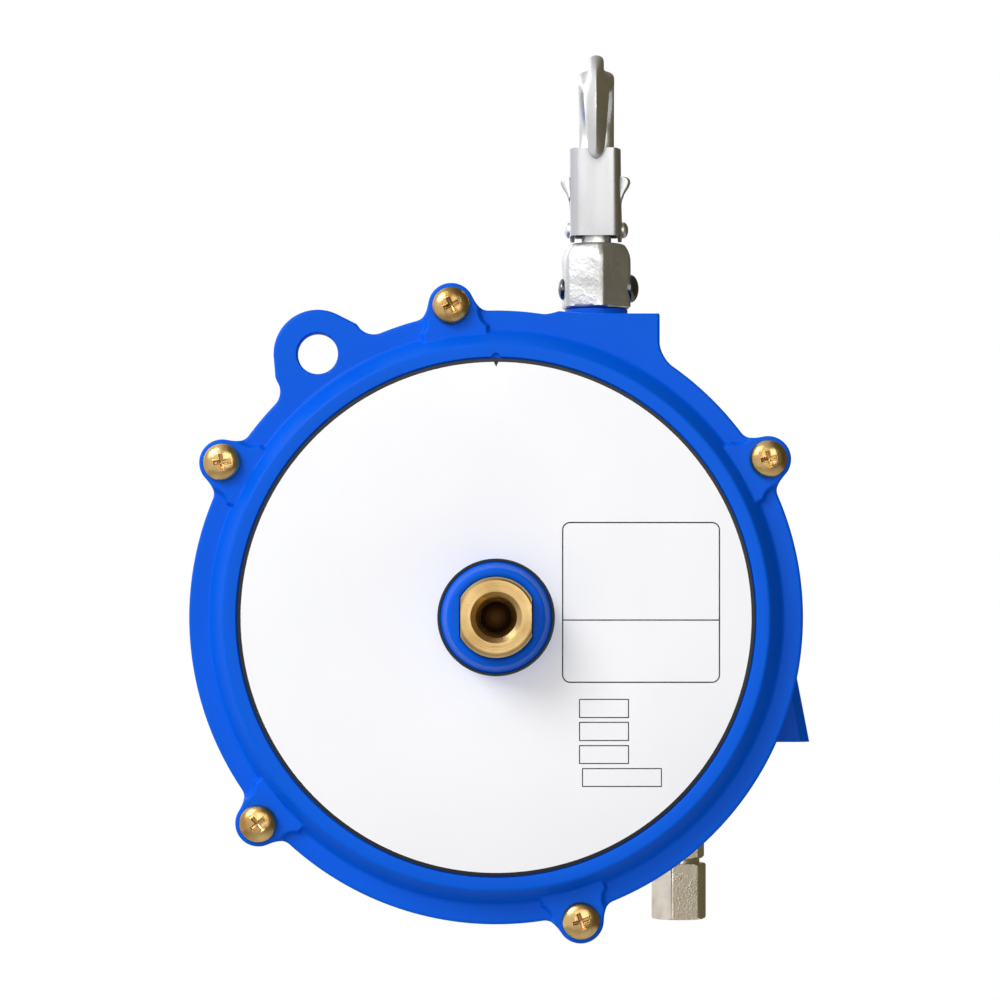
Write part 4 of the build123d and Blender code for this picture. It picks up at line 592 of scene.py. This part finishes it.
# The five cover screws are M5 pan heads with a cross recess, cold headed and plated yellow. Each was driven home by
# hand, so its recess points its own way.
screw_turns = (12.0, 25.0, 8.0, 40.0, 20.0)
screw_crown = 3.3
screw_head_r = 5.1


def pan_screw(head_r, crown, shank_r, length, recess, depth):
    """Grid of one screw along +Y, seat at zero. The head's face is a flattened dome over (radius, angle) with a cross
    of two tapered slots sunk in it; the shank carries a helical thread as a wave of its radius."""
    turn = np.linspace(0.0, 2 * math.pi, 128, endpoint=False)[None, :]
    r = np.concatenate([np.linspace(0.0, recess * 1.15, 34), np.linspace(recess * 1.15, head_r, 16)[1:]])[:, None]
    dome = crown * (0.30 + 0.70 * np.sqrt(np.clip(1 - (r / head_r) ** 2.4, 0.0, 1.0)))
    x, z = r * np.cos(turn), r * np.sin(turn)
    arm = recess * 0.24
    across = np.minimum(np.maximum(np.abs(x) - recess, np.abs(z) - arm),
                        np.maximum(np.abs(z) - recess, np.abs(x) - arm))
    floor = depth * (1 - 0.5 * r / recess)
    sunk = np.clip(-across / 0.22, 0.0, 1.0) * np.maximum(floor, 0.0)
    lip = 0.05 * np.exp(-((across - 0.12) / 0.12) ** 2)
    face = np.stack([x, -dome + sunk - lip, z], axis=-1)
    along = np.concatenate([[0.0], np.linspace(0.0, length - 0.6, 60), [length]])[:, None]
    wave = np.abs(((along / (shank_r * 0.32) - turn / (2 * math.pi)) % 1.0) * 2 - 1)
    reach = (shank_r - 0.13 * shank_r * wave) * np.where(along > length - 0.3, 0.7, 1.0)
    side = np.array([(head_r, -crown * 0.12), (head_r - 0.15, 0.0)])
    seat = np.stack([side[:, :1] * np.cos(turn), side[:, 1:] + 0 * turn, side[:, :1] * np.sin(turn)], axis=-1)
    shank = np.stack([reach * np.cos(turn), along + 0 * turn, reach * np.sin(turn)], axis=-1)
    tip = np.stack([0 * turn, length + 0 * turn, 0 * turn], axis=-1)
    return np.concatenate([face, seat, shank, tip])


def turned_screw(grid, turn, place):
    """A screw's grid turned about its own axis and moved to its seat."""
    c, s = math.cos(math.radians(turn)), math.sin(math.radians(turn))
    x, y, z = grid[..., 0], grid[..., 1], grid[..., 2]
    return np.stack([x * c - z * s, y, x * s + z * c], axis=-1) + np.array(place)


yellow_plating = finish("yellow_plating", 1.0, (0.86, 0.60, 0.25), (0.42, 0.23, 0.07), 160.0, (0.20, 0.34),
                        [("noise", 500.0, 0.00022, 0.45), ("noise", 4200.0, 0.00002, 0.25)], stretch=(1, 1, 0.35))
one_screw = pan_screw(screw_head_r, screw_crown, shank_r=2.5, length=16.0, recess=2.25, depth=1.9)
seats = [(screw_circle * math.cos(math.radians(a)), pad_front, screw_circle * math.sin(math.radians(a)))
         for a in screw_angles]
cover_screws = skins("cover_screws_headed", [turned_screw(one_screw, t, p) for t, p in zip(screw_turns, seats)],
                     "case", yellow_plating, wrap=(False, True), crease=40.0)
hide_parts("cover_screws")

# The shaft is turned from brass bar: an inlet thread in its mouth, two flats for a wrench, a collar behind the cover,
# a journal with seal grooves for the drum, and a spindle for the spring's arbor. It stands still while the drum turns.
shaft_front = -15.0
flat_end = flat_seat - 0.1
thread_pitch = 1.34
inlet_r = 5.72
shaft_r = 10.8
journal_r = 8.0
spindle_r = 6.5
seal_grooves = (20.2, 27.8)
groove_half = 0.95
# Radii of the painted shade in the air bore: dark brown inside the first, clean brass beyond the second.
bore_shade_end, bore_shade_fade = 0.0042, 0.0048


def shaft_grid():
    """Grid of the shaft from its air bore's end, out through the threaded mouth, over the flats and to the rear. The
    flats clip the radius to a plane, and the inlet thread is a helical wave of the bore's radius."""
    turn = np.linspace(0.0, 2 * math.pi, 192, endpoint=False)[None, :]
    bore = [(0.0, 28.0), (4.4, 26.5), (4.4, -1.0), (inlet_r, shaft_front + 13.0)]
    along = np.linspace(shaft_front + 12.6, shaft_front + 1.1, 90)
    bore += [(inlet_r, y) for y in along] + [(6.9, shaft_front + 0.02), (7.2, shaft_front)]
    face = [(r, shaft_front) for r in np.linspace(7.4, 9.6, 10)]
    edge = [(9.9, shaft_front + 0.05), (10.3, shaft_front + 0.4), (10.65, shaft_front + 0.85),
            (shaft_r, shaft_front + 1.3)]
    body = [(shaft_r, shaft_front + 3.0), (shaft_r, flat_end - 0.01), (shaft_r, flat_end + 0.01), (shaft_r, 13.0),
            (12.3, 13.05), (12.5, 13.3), (12.5, 14.8), (12.3, 15.0), (journal_r, 15.0)]
    for y in seal_grooves:
        body += [(journal_r, y - groove_half), (spindle_r, y - groove_half), (spindle_r, y + groove_half),
                 (journal_r, y + groove_half)]
    body += [(journal_r, 41.0), (spindle_r, 41.1), (spindle_r, 76.0), (5.5, 77.0), (0.0, 77.0)]
    line = np.array(bore + face + edge + body)
    r, y = line[:, :1] + 0 * turn, line[:, 1:] + 0 * turn
    in_thread = (np.abs(r - inlet_r) < 1e-6) & (y > shaft_front + 1.0) & (y < shaft_front + 12.7)
    wave = np.abs(((y / thread_pitch + turn / (2 * math.pi)) % 1.0) * 2 - 1)
    r = r + in_thread * 0.55 * (wave - 0.5)
    clip = (y < flat_end) & (line[:, :1] > 7.3) & (np.arange(len(line))[:, None] > 90)
    r = np.where(clip, np.minimum(r, flat_half / np.maximum(np.abs(np.cos(turn)), 1e-6)), r)
    return np.stack([r * np.cos(turn), y, r * np.sin(turn)], axis=-1)


def turned_brass():
    """Turned brass: fine rings about the shaft's axis, over a slow stain and a little grain, and painted shade
    darkening the deep bore.
    """
    kit = finish("brass_turned", 1.0, (0.60, 0.42, 0.19), (0.43, 0.28, 0.11), 90.0, (0.24, 0.36),
                 [("noise", 1500.0, 0.00001, 0.2)])
    tree = kit.node_tree
    shader = tree.nodes["Principled BSDF"]
    radius = axis_radius(tree)
    # Painted shade: near the axis, inside 4.2 mm and fading out by 4.8 mm, the brass turns dark brown, standing in for
    # the shade deep in the bore.
    bore_shade_share = wired(tree, "MapRange", {"From Min": bore_shade_end, "From Max": bore_shade_fade, "Value": radius})
    recoloured(tree, shader, bore_shade_share.outputs[0], (0.055, 0.024, 0.008))
    rings = wired(tree, "TexNoise", {"Scale": 3200.0, "Detail": 2.0, "W": radius}, noise_dimensions="1D")
    below = shader.inputs["Normal"].links[0].from_socket
    tree.links.new(bumped(tree, rings.outputs["Fac"], 0.00009, 0.5, below), shader.inputs["Normal"])
    return kit


brass_turned = turned_brass()
shaft = skin("shaft_turned", shaft_grid(), "case", brass_turned, wrap=(False, True), crease=28.0)
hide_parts("air_shaft")

# The hook is drop forged and zinc plated: a heavy bead round the bowl with a thin rib outside it, a leaf-shaped tip,
# and a flat neck that stands in the socket. It swivels with its socket, pin and rivet.
hook_x, hook_y = 28.2, 45.0
hook_turn, ring_turn, latch_turn = np.radians((-8.0, -1.5, -4.0))
bowl_z = 136.5
bowl_r = 12.0
rib_out = 21.5
tip_angle, neck_angle = -33.0, 215.0
neck_top_z, neck_deep = 114.1, 12.0
neck_front_y, neck_back_y = -5.0, 5.8
bowl_share, curve_share, foot_start, foot_share = 0.45, 0.25, 0.7, 0.3


def at_hook(grid, turn=hook_turn):
    """A grid drawn at the swivel's axis, turned and moved to the swivel."""
    c, s = math.cos(turn), math.sin(turn)
    x, y, z = grid[..., 0], grid[..., 1], grid[..., 2]
    return np.stack([x * c - y * s + hook_x, x * s + y * c + hook_y, z], axis=-1)


def hook_grid():
    """Grid of the hook: sections carried from the tip round the bowl and down the neck. Each section runs from an inner
    to an outer point; its half-width is the smooth maximum of the bead and the rib, of a leaf at the tip, and of a
    rounded bar at the neck."""
    ring = np.linspace(tip_angle, neck_angle, 92)
    angle = np.radians(ring)
    taper = np.sqrt(np.clip(1 - ((-24.0 - ring) / 9.0).clip(0, 1) ** 2, 0.0, 1.0))
    middle_r = (bowl_r + rib_out) / 2 - 0.6 * np.clip((10 - ring) / 35.0, 0.0, 1.0)
    half_r = ((rib_out - bowl_r) / 2 - 1.5 * np.clip((20 - ring) / 45.0, 0.0, 1.0)) * taper
    inner = np.stack([-(middle_r - half_r) * np.cos(angle), bowl_z + (middle_r - half_r) * np.sin(angle)], axis=-1)
    outer = np.stack([-(middle_r + half_r) * np.cos(angle), bowl_z + (middle_r + half_r) * np.sin(angle)], axis=-1)
    steps = np.linspace(0.0, 1.0, 40)[1:, None]
    bowl = np.radians(neck_angle + 47.0 * np.minimum(steps / bowl_share, 1.0))
    along_bowl = np.concatenate([-bowl_r * np.cos(bowl), bowl_z + bowl_r * np.sin(bowl)], axis=1)
    drop = np.clip((steps - bowl_share) / curve_share, 0.0, 1.0)
    end_y, end_z = along_bowl[-1]
    curve = np.concatenate([end_y + (neck_front_y - end_y) * drop**1.8, end_z + (neck_top_z - end_z) * drop], axis=1)
    down = np.clip((steps - foot_start) / foot_share, 0.0, 1.0)
    sunk = np.concatenate([0 * down, neck_deep * down], axis=1)
    front = np.where(steps <= bowl_share, along_bowl, curve) - sunk
    start_y, start_z = outer[-1]
    sweep = np.clip(steps / foot_start, 0.0, 1.0)
    rear_y = start_y + (neck_back_y - start_y) * (1 - (1 - sweep) ** 1.8)
    rear_z = start_z + (neck_top_z - start_z) * sweep
    back = np.concatenate([rear_y, rear_z], axis=1) - sunk
    inner, outer = np.concatenate([inner, front]), np.concatenate([outer, back])
    u = np.linspace(0.0, 2 * math.pi, 72, endpoint=False)[None, :]
    s = 0.5 - 0.5 * np.cos(u)
    bead_half = 5.05 * np.clip(1 - np.abs(2 * np.clip(s / 0.56, 0, 1) - 1) ** 2.8, 0, 1) ** (1 / 2.4)
    rib_half = 2.15 * np.clip(1 - np.abs(2 * s - 1) ** 8, 0, 1) ** 0.6
    ring_half = (bead_half**8 + rib_half**8) ** 0.125
    leaf_half = 3.5 * np.clip(1 - np.abs(2 * s - 1) ** 1.6, 0, 1) ** 0.9
    neck_half = 4.2 * np.clip(1 - np.abs(2 * s - 1) ** 5, 0, 1) ** 0.5
    spot = np.concatenate([ring, neck_angle + 60.0 * steps[:, 0]])[:, None]
    to_leaf = np.clip((62.0 - spot) / 34.0, 0.0, 1.0)
    to_leaf = to_leaf * to_leaf * (3 - 2 * to_leaf)
    to_neck = np.clip((spot - 205.0) / 30.0, 0.0, 1.0)
    to_neck = to_neck * to_neck * (3 - 2 * to_neck)
    half = (ring_half * (1 - to_leaf) + leaf_half * to_leaf) * (1 - to_neck) + neck_half * to_neck
    narrow = np.clip((spot - tip_angle) / 60.0, 0.0, 1.0) ** 0.6
    tips = np.concatenate([taper, np.ones(len(steps))])[:, None]
    half = half * np.where(spot < 35, 0.46 + 0.54 * narrow, 1.0) * tips
    side = np.where(u < math.pi, 1.0, -1.0)
    y = inner[:, :1] + (outer[:, :1] - inner[:, :1]) * s
    z = inner[:, 1:] + (outer[:, 1:] - inner[:, 1:]) * s
    grid = np.stack([half * side, y, z], axis=-1)
    foot = np.broadcast_to(grid[-1:].mean(axis=1, keepdims=True), grid[-1:].shape)
    return np.concatenate([grid, foot])


zinc_plate = finish("zinc_plate", 1.0, (0.90, 0.90, 0.89), (0.68, 0.67, 0.63), 70.0, (0.26, 0.42),
                    [("noise", 700.0, 0.00016, 0.30), ("pits", 1800.0, 0.00005, 0.35)])
forged = skin("forged_hook", at_hook(hook_grid(), ring_turn), "hook", zinc_plate, wrap=(False, True), crease=50.0)
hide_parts("hook")


def refined(node, name, material, round_off=0.0, steps=2, crease=32.0):
    """The CAD's own mesh of a node, merged and shaded by angle, its sharp edges rounded off by a small bevel."""
    body = next(b for b, held in frame["record"]["behaviour"]["bodies"].items() if node in held)
    mesh = frame["nodes"][node].data.copy()
    mesh.materials.clear()
    piece = finish_mesh(name, mesh, body, material, crease)
    work = bmesh.new()
    work.from_mesh(piece.data)
    bmesh.ops.dissolve_limit(work, angle_limit=math.radians(0.6), verts=work.verts, edges=work.edges)
    work.to_mesh(piece.data)
    work.free()
    if round_off:
        bevel = piece.modifiers.new("rounded_edges", "BEVEL")
        bevel.width = round_off * mm
        bevel.segments = steps
        bevel.limit_method = "ANGLE"
        bevel.angle_limit = math.radians(28.0)
    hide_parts(node)


# The socket is the hook's six-sided foot, drawn by itself because it stands at an angle of its own. A domed pin goes
# through it and through the stud inside, and the latch turns on a headed rivet through the neck.
socket_low, socket_bore_r, socket_wall_r, socket_corner_r = 86.8, 5.2, 9.15, 10.2
socket_turn = math.radians(6.0)


def socket_grid():
    """Grid of the socket: a hexagon's radius cut round at its corners, shouldered on top, with a slight cast swell."""
    turn = np.linspace(0.0, 2 * math.pi, 180, endpoint=False)[None, :]
    flat = socket_wall_r / np.cos(((turn - math.pi / 6) % (math.pi / 3)) - math.pi / 6)
    hexagonal = np.minimum(flat, socket_corner_r)
    line = rounded_profile([(0.0, socket_low, 0), (socket_bore_r, socket_low, 0), (socket_bore_r, 100.0, 0.4),
                            (0.0, 100.0, 0)], steps=3)
    inside = [(r, z, 0.0) for r, z in line[::-1][:-1]]
    foot = [(socket_bore_r, socket_low, 0.0), (7.5, socket_low, 0.0), (9.0, 86.85, 0.6), (socket_wall_r, 87.2, 1.0)]
    wall = [(socket_wall_r, z, 1.0) for z in np.linspace(87.8, 99.6, 18)]
    top = [(socket_wall_r - 1.3 * q**2.2, 100.2 + 4.2 * q, 1.0 - 0.35 * q) for q in np.linspace(0.0, 1.0, 14)]
    cap = [(7.4, 104.75, 0.5), (6.6, 105.0, 0.3), (5.6, 105.1, 0.0), (0.0, 105.1, 0.0)]
    rows = inside + foot + wall + top + cap
    r, z, six = np.array(rows).T[:, :, None]
    reach = r * (1 - six) + r * (hexagonal / socket_wall_r) * six
    swell = 0.06 * np.sin(3 * turn + 0.4 * z) * np.sin(0.55 * z) * (six > 0.2)
    reach = reach + swell
    return np.stack([reach * np.cos(turn), reach * np.sin(turn), z + 0 * turn], axis=-1)


cast_steel = finish("cast_steel", 1.0, (0.84, 0.84, 0.83), (0.56, 0.55, 0.51), 85.0, (0.34, 0.50),
                    [("noise", 420.0, 0.00030, 0.45), ("pits", 1300.0, 0.00010, 0.45)])
socket = skin("cast_socket", at_hook(socket_grid(), socket_turn), "hook", cast_steel, wrap=(False, True), crease=40.0)
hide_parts("hook")


def dome_rod(shank, half, heads, z):
    """Grid of a headed pin along X: a domed head at each end, each a (radius, height) on the end of the shank."""
    def dome(head_r, head_h, side):
        """The profile of one domed head, from its crown to its rim."""
        turns = [math.pi / 2 * q for q in np.linspace(0.0, 1.0, 14)]
        return [(head_r * math.sin(a), side * (half + head_h * math.cos(a) * 0.8 + 0.2 * head_h)) for a in turns]

    left, right = heads
    middle = [(left[0], -half), (shank, -half), (shank, half), (right[0], half)]
    line = dome(*left, -1) + middle + dome(*right, 1)[::-1]
    return lathe(np.array(line), 64, "x", (0.0, 0.0, z))


pin_steel = finish("pin_steel", 1.0, (0.22, 0.23, 0.26), (0.10, 0.10, 0.11), 120.0, (0.14, 0.28),
                   [("noise", 1100.0, 0.00005, 0.3)])
pin_grid = dome_rod(shank=2.0, half=9.15, heads=((3.0, 1.6), (3.9, 2.8)), z=92.4)
pin = skin("cross_pin", at_hook(pin_grid), "hook", pin_steel, wrap=(False, True))
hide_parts("hook_pin")
rivet_grid = dome_rod(shank=1.4, half=7.25, heads=((2.25, 1.75), (2.25, 1.75)), z=108.9)
rivet = skin("latch_rivet_headed", at_hook(rivet_grid, latch_turn), "hook", zinc_plate, wrap=(False, True))
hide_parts("latch_rivet")

# The latch is folded from one-millimetre steel strip, bright plated, its edges broken by tumbling. Its cheeks turn on
# the rivet, and a finger tab stands out on each side.
bright_strip = finish("bright_strip", 1.0, (0.66, 0.66, 0.67), (0.50, 0.49, 0.47), 60.0, (0.28, 0.42),
                      [("noise", 260.0, 0.00012, 0.25), ("noise", 2600.0, 0.00002, 0.3)], stretch=(1, 1, 0.25))
latch_half, latch_sheet, bend_r = 7.15, 1.0, 2.5
latch_low, latch_tall, latch_eye = 106.9, 24.1, 2.6
latch_front, latch_lean = 7.6, 3.0
tab_low, tab_high = 113.9, 123.3


def latch_sheet_grid():
    """Grid of the latch: a U-shaped path round the outside and back inside, at each height between the lower edge and
    the top. The face leans forward with height, and the cheeks grow forward from the eyes round the rivet."""
    straight = np.linspace(0.0, 1.0, 10)
    bend = np.linspace(0.0, math.pi / 2, 9)
    rows = []
    for inset, t in [(0.5, 0.0)] + [(None, t) for t in np.linspace(0.0, 1.0, 40)] + [(0.5, 1.0)]:
        sides = []
        for depth in ((0.0, latch_sheet) if inset is None else (inset, inset)):
            half, radius = latch_half - depth, bend_r - depth
            foot = latch_low + latch_tall * t
            rear = np.interp(foot, (latch_low, 111.5, 117.9, 131.0), (-latch_eye, -latch_eye, 3.0, latch_front - 0.5))
            front = latch_front + latch_lean * t - depth
            flank = rear + (front - radius - rear) * straight
            x = np.concatenate([np.full(10, half), half - radius + radius * np.cos(bend),
                                (half - radius) * (1 - 2 * straight[1:-1]),
                                -(half - radius) - radius * np.sin(bend), np.full(10, -half)])
            ahead = np.concatenate([flank, front - radius + radius * np.sin(bend), np.full(8, front),
                                    front - radius + radius * np.cos(bend), flank[::-1]])
            cheek = np.clip((front - 1.2 - ahead) / 3.0, 0.0, 1.0) * np.clip((ahead + latch_eye) / 3.5, 0.0, 1.0)
            z = foot - 1.5 * cheek * (1 - t) ** 6 - 0.35 * t**8 * np.clip((np.abs(x) - 5.5) / 1.6, 0, 1) ** 2
            sides.append(np.stack([x, -ahead, z], axis=-1))
        rows.append(np.concatenate([sides[0], sides[1][::-1]]))
    return np.stack(rows)


def finger_tab(side):
    """Grid of one finger tab: a wing that swells out of the cheek and falls back to it below."""
    z = np.linspace(tab_low, tab_high, 30)[:, None]
    proud = np.interp(z, (tab_low, 116.4, 118.4, 120.4, 121.6, 122.5, 123.0, tab_high),
                      (0.0, 0.25, 0.9, 2.2, 2.65, 2.5, 1.9, 0.6))
    u = np.linspace(0.0, 2 * math.pi, 40, endpoint=False)[None, :]
    c, s = np.cos(u), np.sin(u)
    ahead = 5.6 + 1.5 * np.sign(s) * np.abs(s) ** 0.5 * np.sqrt(np.clip(proud / 0.6, 0.15, 1.0))
    out = 6.6 + (0.55 + proud) * (0.5 + 0.5 * np.sign(c) * np.abs(c) ** 0.6)
    grid = np.stack([side * out, -ahead, z + 0 * u], axis=-1)
    ends = [np.broadcast_to(grid[k : k + 1].mean(axis=1, keepdims=True), grid[:1].shape) for k in (0, len(z) - 1)]
    return np.concatenate([ends[0], grid, ends[1]])


latch_grid = at_hook(latch_sheet_grid(), latch_turn)
latch = skin("latch_strip", latch_grid, "latch", bright_strip, wrap=(False, True), crease=50.0)
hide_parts("hook_latch")
tab_grids = [at_hook(finger_tab(side), latch_turn) for side in (-1, 1)]
tabs = skins("latch_tabs", tab_grids, "latch", bright_strip, wrap=(False, True), crease=50.0)
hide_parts("hook_latch")

# The rear case is a second die casting with the hook's boss, the hose snout and the gearbox in one; a flat cover closes
# the gearbox with four screws. Both wear the same powder coat as the front, with every edge rounded by the coat.
refined("rear_case", "rear_casting", powder_blue, 0.55, 3)
refined("gear_cover", "gearbox_lid", powder_blue, 0.5, 2)
refined("gear_cover_screws", "gearbox_screws", yellow_plating, 0.2, 2)

# The hose end: a six-sided nickel-plated fitting, machined from bar with its corners turned off, below a smaller nut
# and a moulded rubber stopper that meets the snout when the hose is wound in.
nickel_plate = finish("nickel_plate", 1.0, (0.96, 0.88, 0.73), (0.74, 0.65, 0.50), 130.0, (0.24, 0.40),
                      [("pits", 2300.0, 0.00008, 0.35), ("noise", 900.0, 0.00006, 0.30)])
moulded_rubber = finish("moulded_rubber", 0.0, (0.028, 0.028, 0.030), (0.016, 0.016, 0.017), 80.0, (0.55, 0.75),
                        [("noise", 1400.0, 0.00008, 0.4)], specular=0.35)


def six_sided(flats, low, high, bore, turn_degrees, bevel, steps=12):
    """Grid of a six-sided bar with a bore: a hexagon's radius clipped by a cone at both ends, as a lathe turns it."""
    turn = np.linspace(0.0, 2 * math.pi, 240, endpoint=False)[None, :]
    around = (turn - math.radians(turn_degrees)) % (math.pi / 3) - math.pi / 6
    hexagonal = np.minimum(flats / 2 / np.cos(around), flats / math.sqrt(3) - 0.12)
    corner = flats / math.sqrt(3)
    ends = np.linspace(0.0, bevel, steps)
    z = np.concatenate([low + ends, np.linspace(low + bevel, high - bevel, 6)[1:-1], high - ends[::-1]])[:, None]
    from_end = np.minimum(z - low, high - z)
    cone = corner - bevel * 0.95 + np.sqrt(np.maximum(bevel**2 - (bevel - np.minimum(from_end, bevel)) ** 2, 0)) * 0.95
    wall = np.minimum(hexagonal, cone)
    walls = np.stack([wall * np.cos(turn), wall * np.sin(turn), z + 0 * turn], axis=-1)
    bored = [(bore + 0.5, high), (bore, high - 0.5), (bore, low + 0.6), (bore + 0.6, low)]
    ring = turn[0]
    hole = np.stack([np.stack([r * np.cos(ring), r * np.sin(ring), z0 + 0 * ring], axis=-1) for r, z0 in bored])
    return np.concatenate([walls, hole])


fitting_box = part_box("hose_fitting")
fitting_x = ((fitting_box[0].x + fitting_box[1].x) / 2 - drum_x) / mm
fitting_y = ((fitting_box[0].y + fitting_box[1].y) / 2 - land_y) / mm
fitting_grid = six_sided(flats=14.0, low=-85.7, high=-69.8, bore=4.3, turn_degrees=13.0, bevel=1.2)
fitting_grid += np.array((fitting_x, fitting_y, 0.0))
fitting = skin("end_fitting", fitting_grid, "hose_end", nickel_plate, crease=24.0)
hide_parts("hose_fitting")
refined("hose_nut", "hose_nut_turned", nickel_plate, 0.25, 2)
refined("hose_stopper", "stopper_moulded", moulded_rubber, 0.6, 4)

# The hose is polyurethane tube, black and satin. Its run from the drum to the snout is drawn out of the case as the
# hose end is pulled; it is drawn here as one straight tube between the two, left on no body.
hose_skin = finish("hose_skin", 0.0, (0.030, 0.031, 0.034), (0.018, 0.018, 0.020), 60.0, (0.30, 0.45),
                   [("noise", 1800.0, 0.00003, 0.3)], specular=0.45)
run_low, run_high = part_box("hose_run")
run_x, run_y = (run_low.x + run_high.x) / 2, (run_low.y + run_high.y) / 2
run_r = (run_high.x - run_low.x) / 2 / mm
run_top, run_foot = (run_high.z - drum_z) / mm, (run_low.z - drum_z) / mm
run_rows = [(3.0, run_top)] + [(run_r, z) for z in np.linspace(run_top, run_foot, 60)] + [(3.0, run_foot)]
run_grid = lathe(np.array(run_rows), 48, "z", ((run_x - drum_x) / mm, (run_y - land_y) / mm, 0.0))
hose_run = skin("running_hose", run_grid, "case", hose_skin)
hose_run.parent = None
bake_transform(hose_run)
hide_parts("hose_run")
refined("wound_hose", "wound_hose_tube", hose_skin, 0.0, crease=60.0)
refined("hose_tail", "hose_tail_tube", hose_skin, 0.0, crease=60.0)

# What is inside: an aluminium drum cast in one with its spring chamber, bronze bushes, the clock spring on its
# arbor, and the worm drive that winds it. Steel pieces are oiled and dark, bushes and wheel are cast bronze.
cast_aluminium = finish("cast_aluminium", 1.0, (0.74, 0.75, 0.77), (0.50, 0.51, 0.53), 50.0, (0.36, 0.55),
                        [("noise", 500.0, 0.00020, 0.35), ("pits", 1500.0, 0.00006, 0.3)])
bearing_bronze = finish("bearing_bronze", 1.0, (0.62, 0.40, 0.19), (0.38, 0.22, 0.09), 110.0, (0.28, 0.42),
                        [("pits", 2600.0, 0.00004, 0.3), ("noise", 900.0, 0.00004, 0.2)])
oiled_steel = finish("oiled_steel", 1.0, (0.24, 0.25, 0.27), (0.11, 0.11, 0.12), 90.0, (0.24, 0.40),
                     [("noise", 1300.0, 0.00004, 0.3)])
spring_strip = finish("spring_strip", 1.0, (0.42, 0.45, 0.52), (0.22, 0.24, 0.30), 45.0, (0.18, 0.32),
                      [("noise", 800.0, 0.00004, 0.3)], stretch=(1, 1, 6))
plated_sheet = finish("plated_sheet", 1.0, (0.70, 0.70, 0.68), (0.50, 0.49, 0.46), 60.0, (0.28, 0.42),
                      [("noise", 900.0, 0.00006, 0.3)])
black_nylon = finish("black_nylon", 0.0, (0.035, 0.035, 0.037), (0.022, 0.022, 0.024), 110.0, (0.42, 0.58),
                     [("noise", 700.0, 0.00008, 0.35)], specular=0.4)
inner_pieces = (
    ("hose_drum", "drum_casting", cast_aluminium, 0.3), ("spring_cover", "spring_chamber_lid", plated_sheet, 0.2),
    ("drum_bushes", "drum_bush_pair", bearing_bronze, 0.2), ("arbor_bush", "arbor_bush_ring", bearing_bronze, 0.15),
    ("worm_bushes", "worm_bush_pair", bearing_bronze, 0.15), ("stud_bush", "stud_bush_sleeve", bearing_bronze, 0.15),
    ("worm_wheel", "wheel_with_teeth", bearing_bronze, 0.0), ("worm", "worm_shaft", oiled_steel, 0.0),
    ("spring_arbor", "arbor_turned", oiled_steel, 0.2), ("wheel_key", "key_bar", oiled_steel, 0.1),
    ("wheel_clip", "retaining_clip", spring_strip, 0.1), ("mainspring", "clock_spring", spring_strip, 0.0),
    ("spring_cover_screws", "chamber_screws", oiled_steel, 0.12), ("shaft_screws", "set_screws", oiled_steel, 0.2),
    ("swivel_stud", "swivel_stud_turned", oiled_steel, 0.2), ("stud_nut", "lock_nut", oiled_steel, 0.25),
    ("stud_washer", "thrust_washer", oiled_steel, 0.15), ("latch_spring", "latch_coils", spring_strip, 0.12),
    ("shaft_o_rings", "seal_rings", moulded_rubber, 0.3), ("hose_nipple", "barbed_nipple", brass_turned, 0.15),
    ("hose_guide", "guide_ring", black_nylon, 0.3),
)
for node, name, material, round_off in inner_pieces:
    refined(node, name, material, round_off)
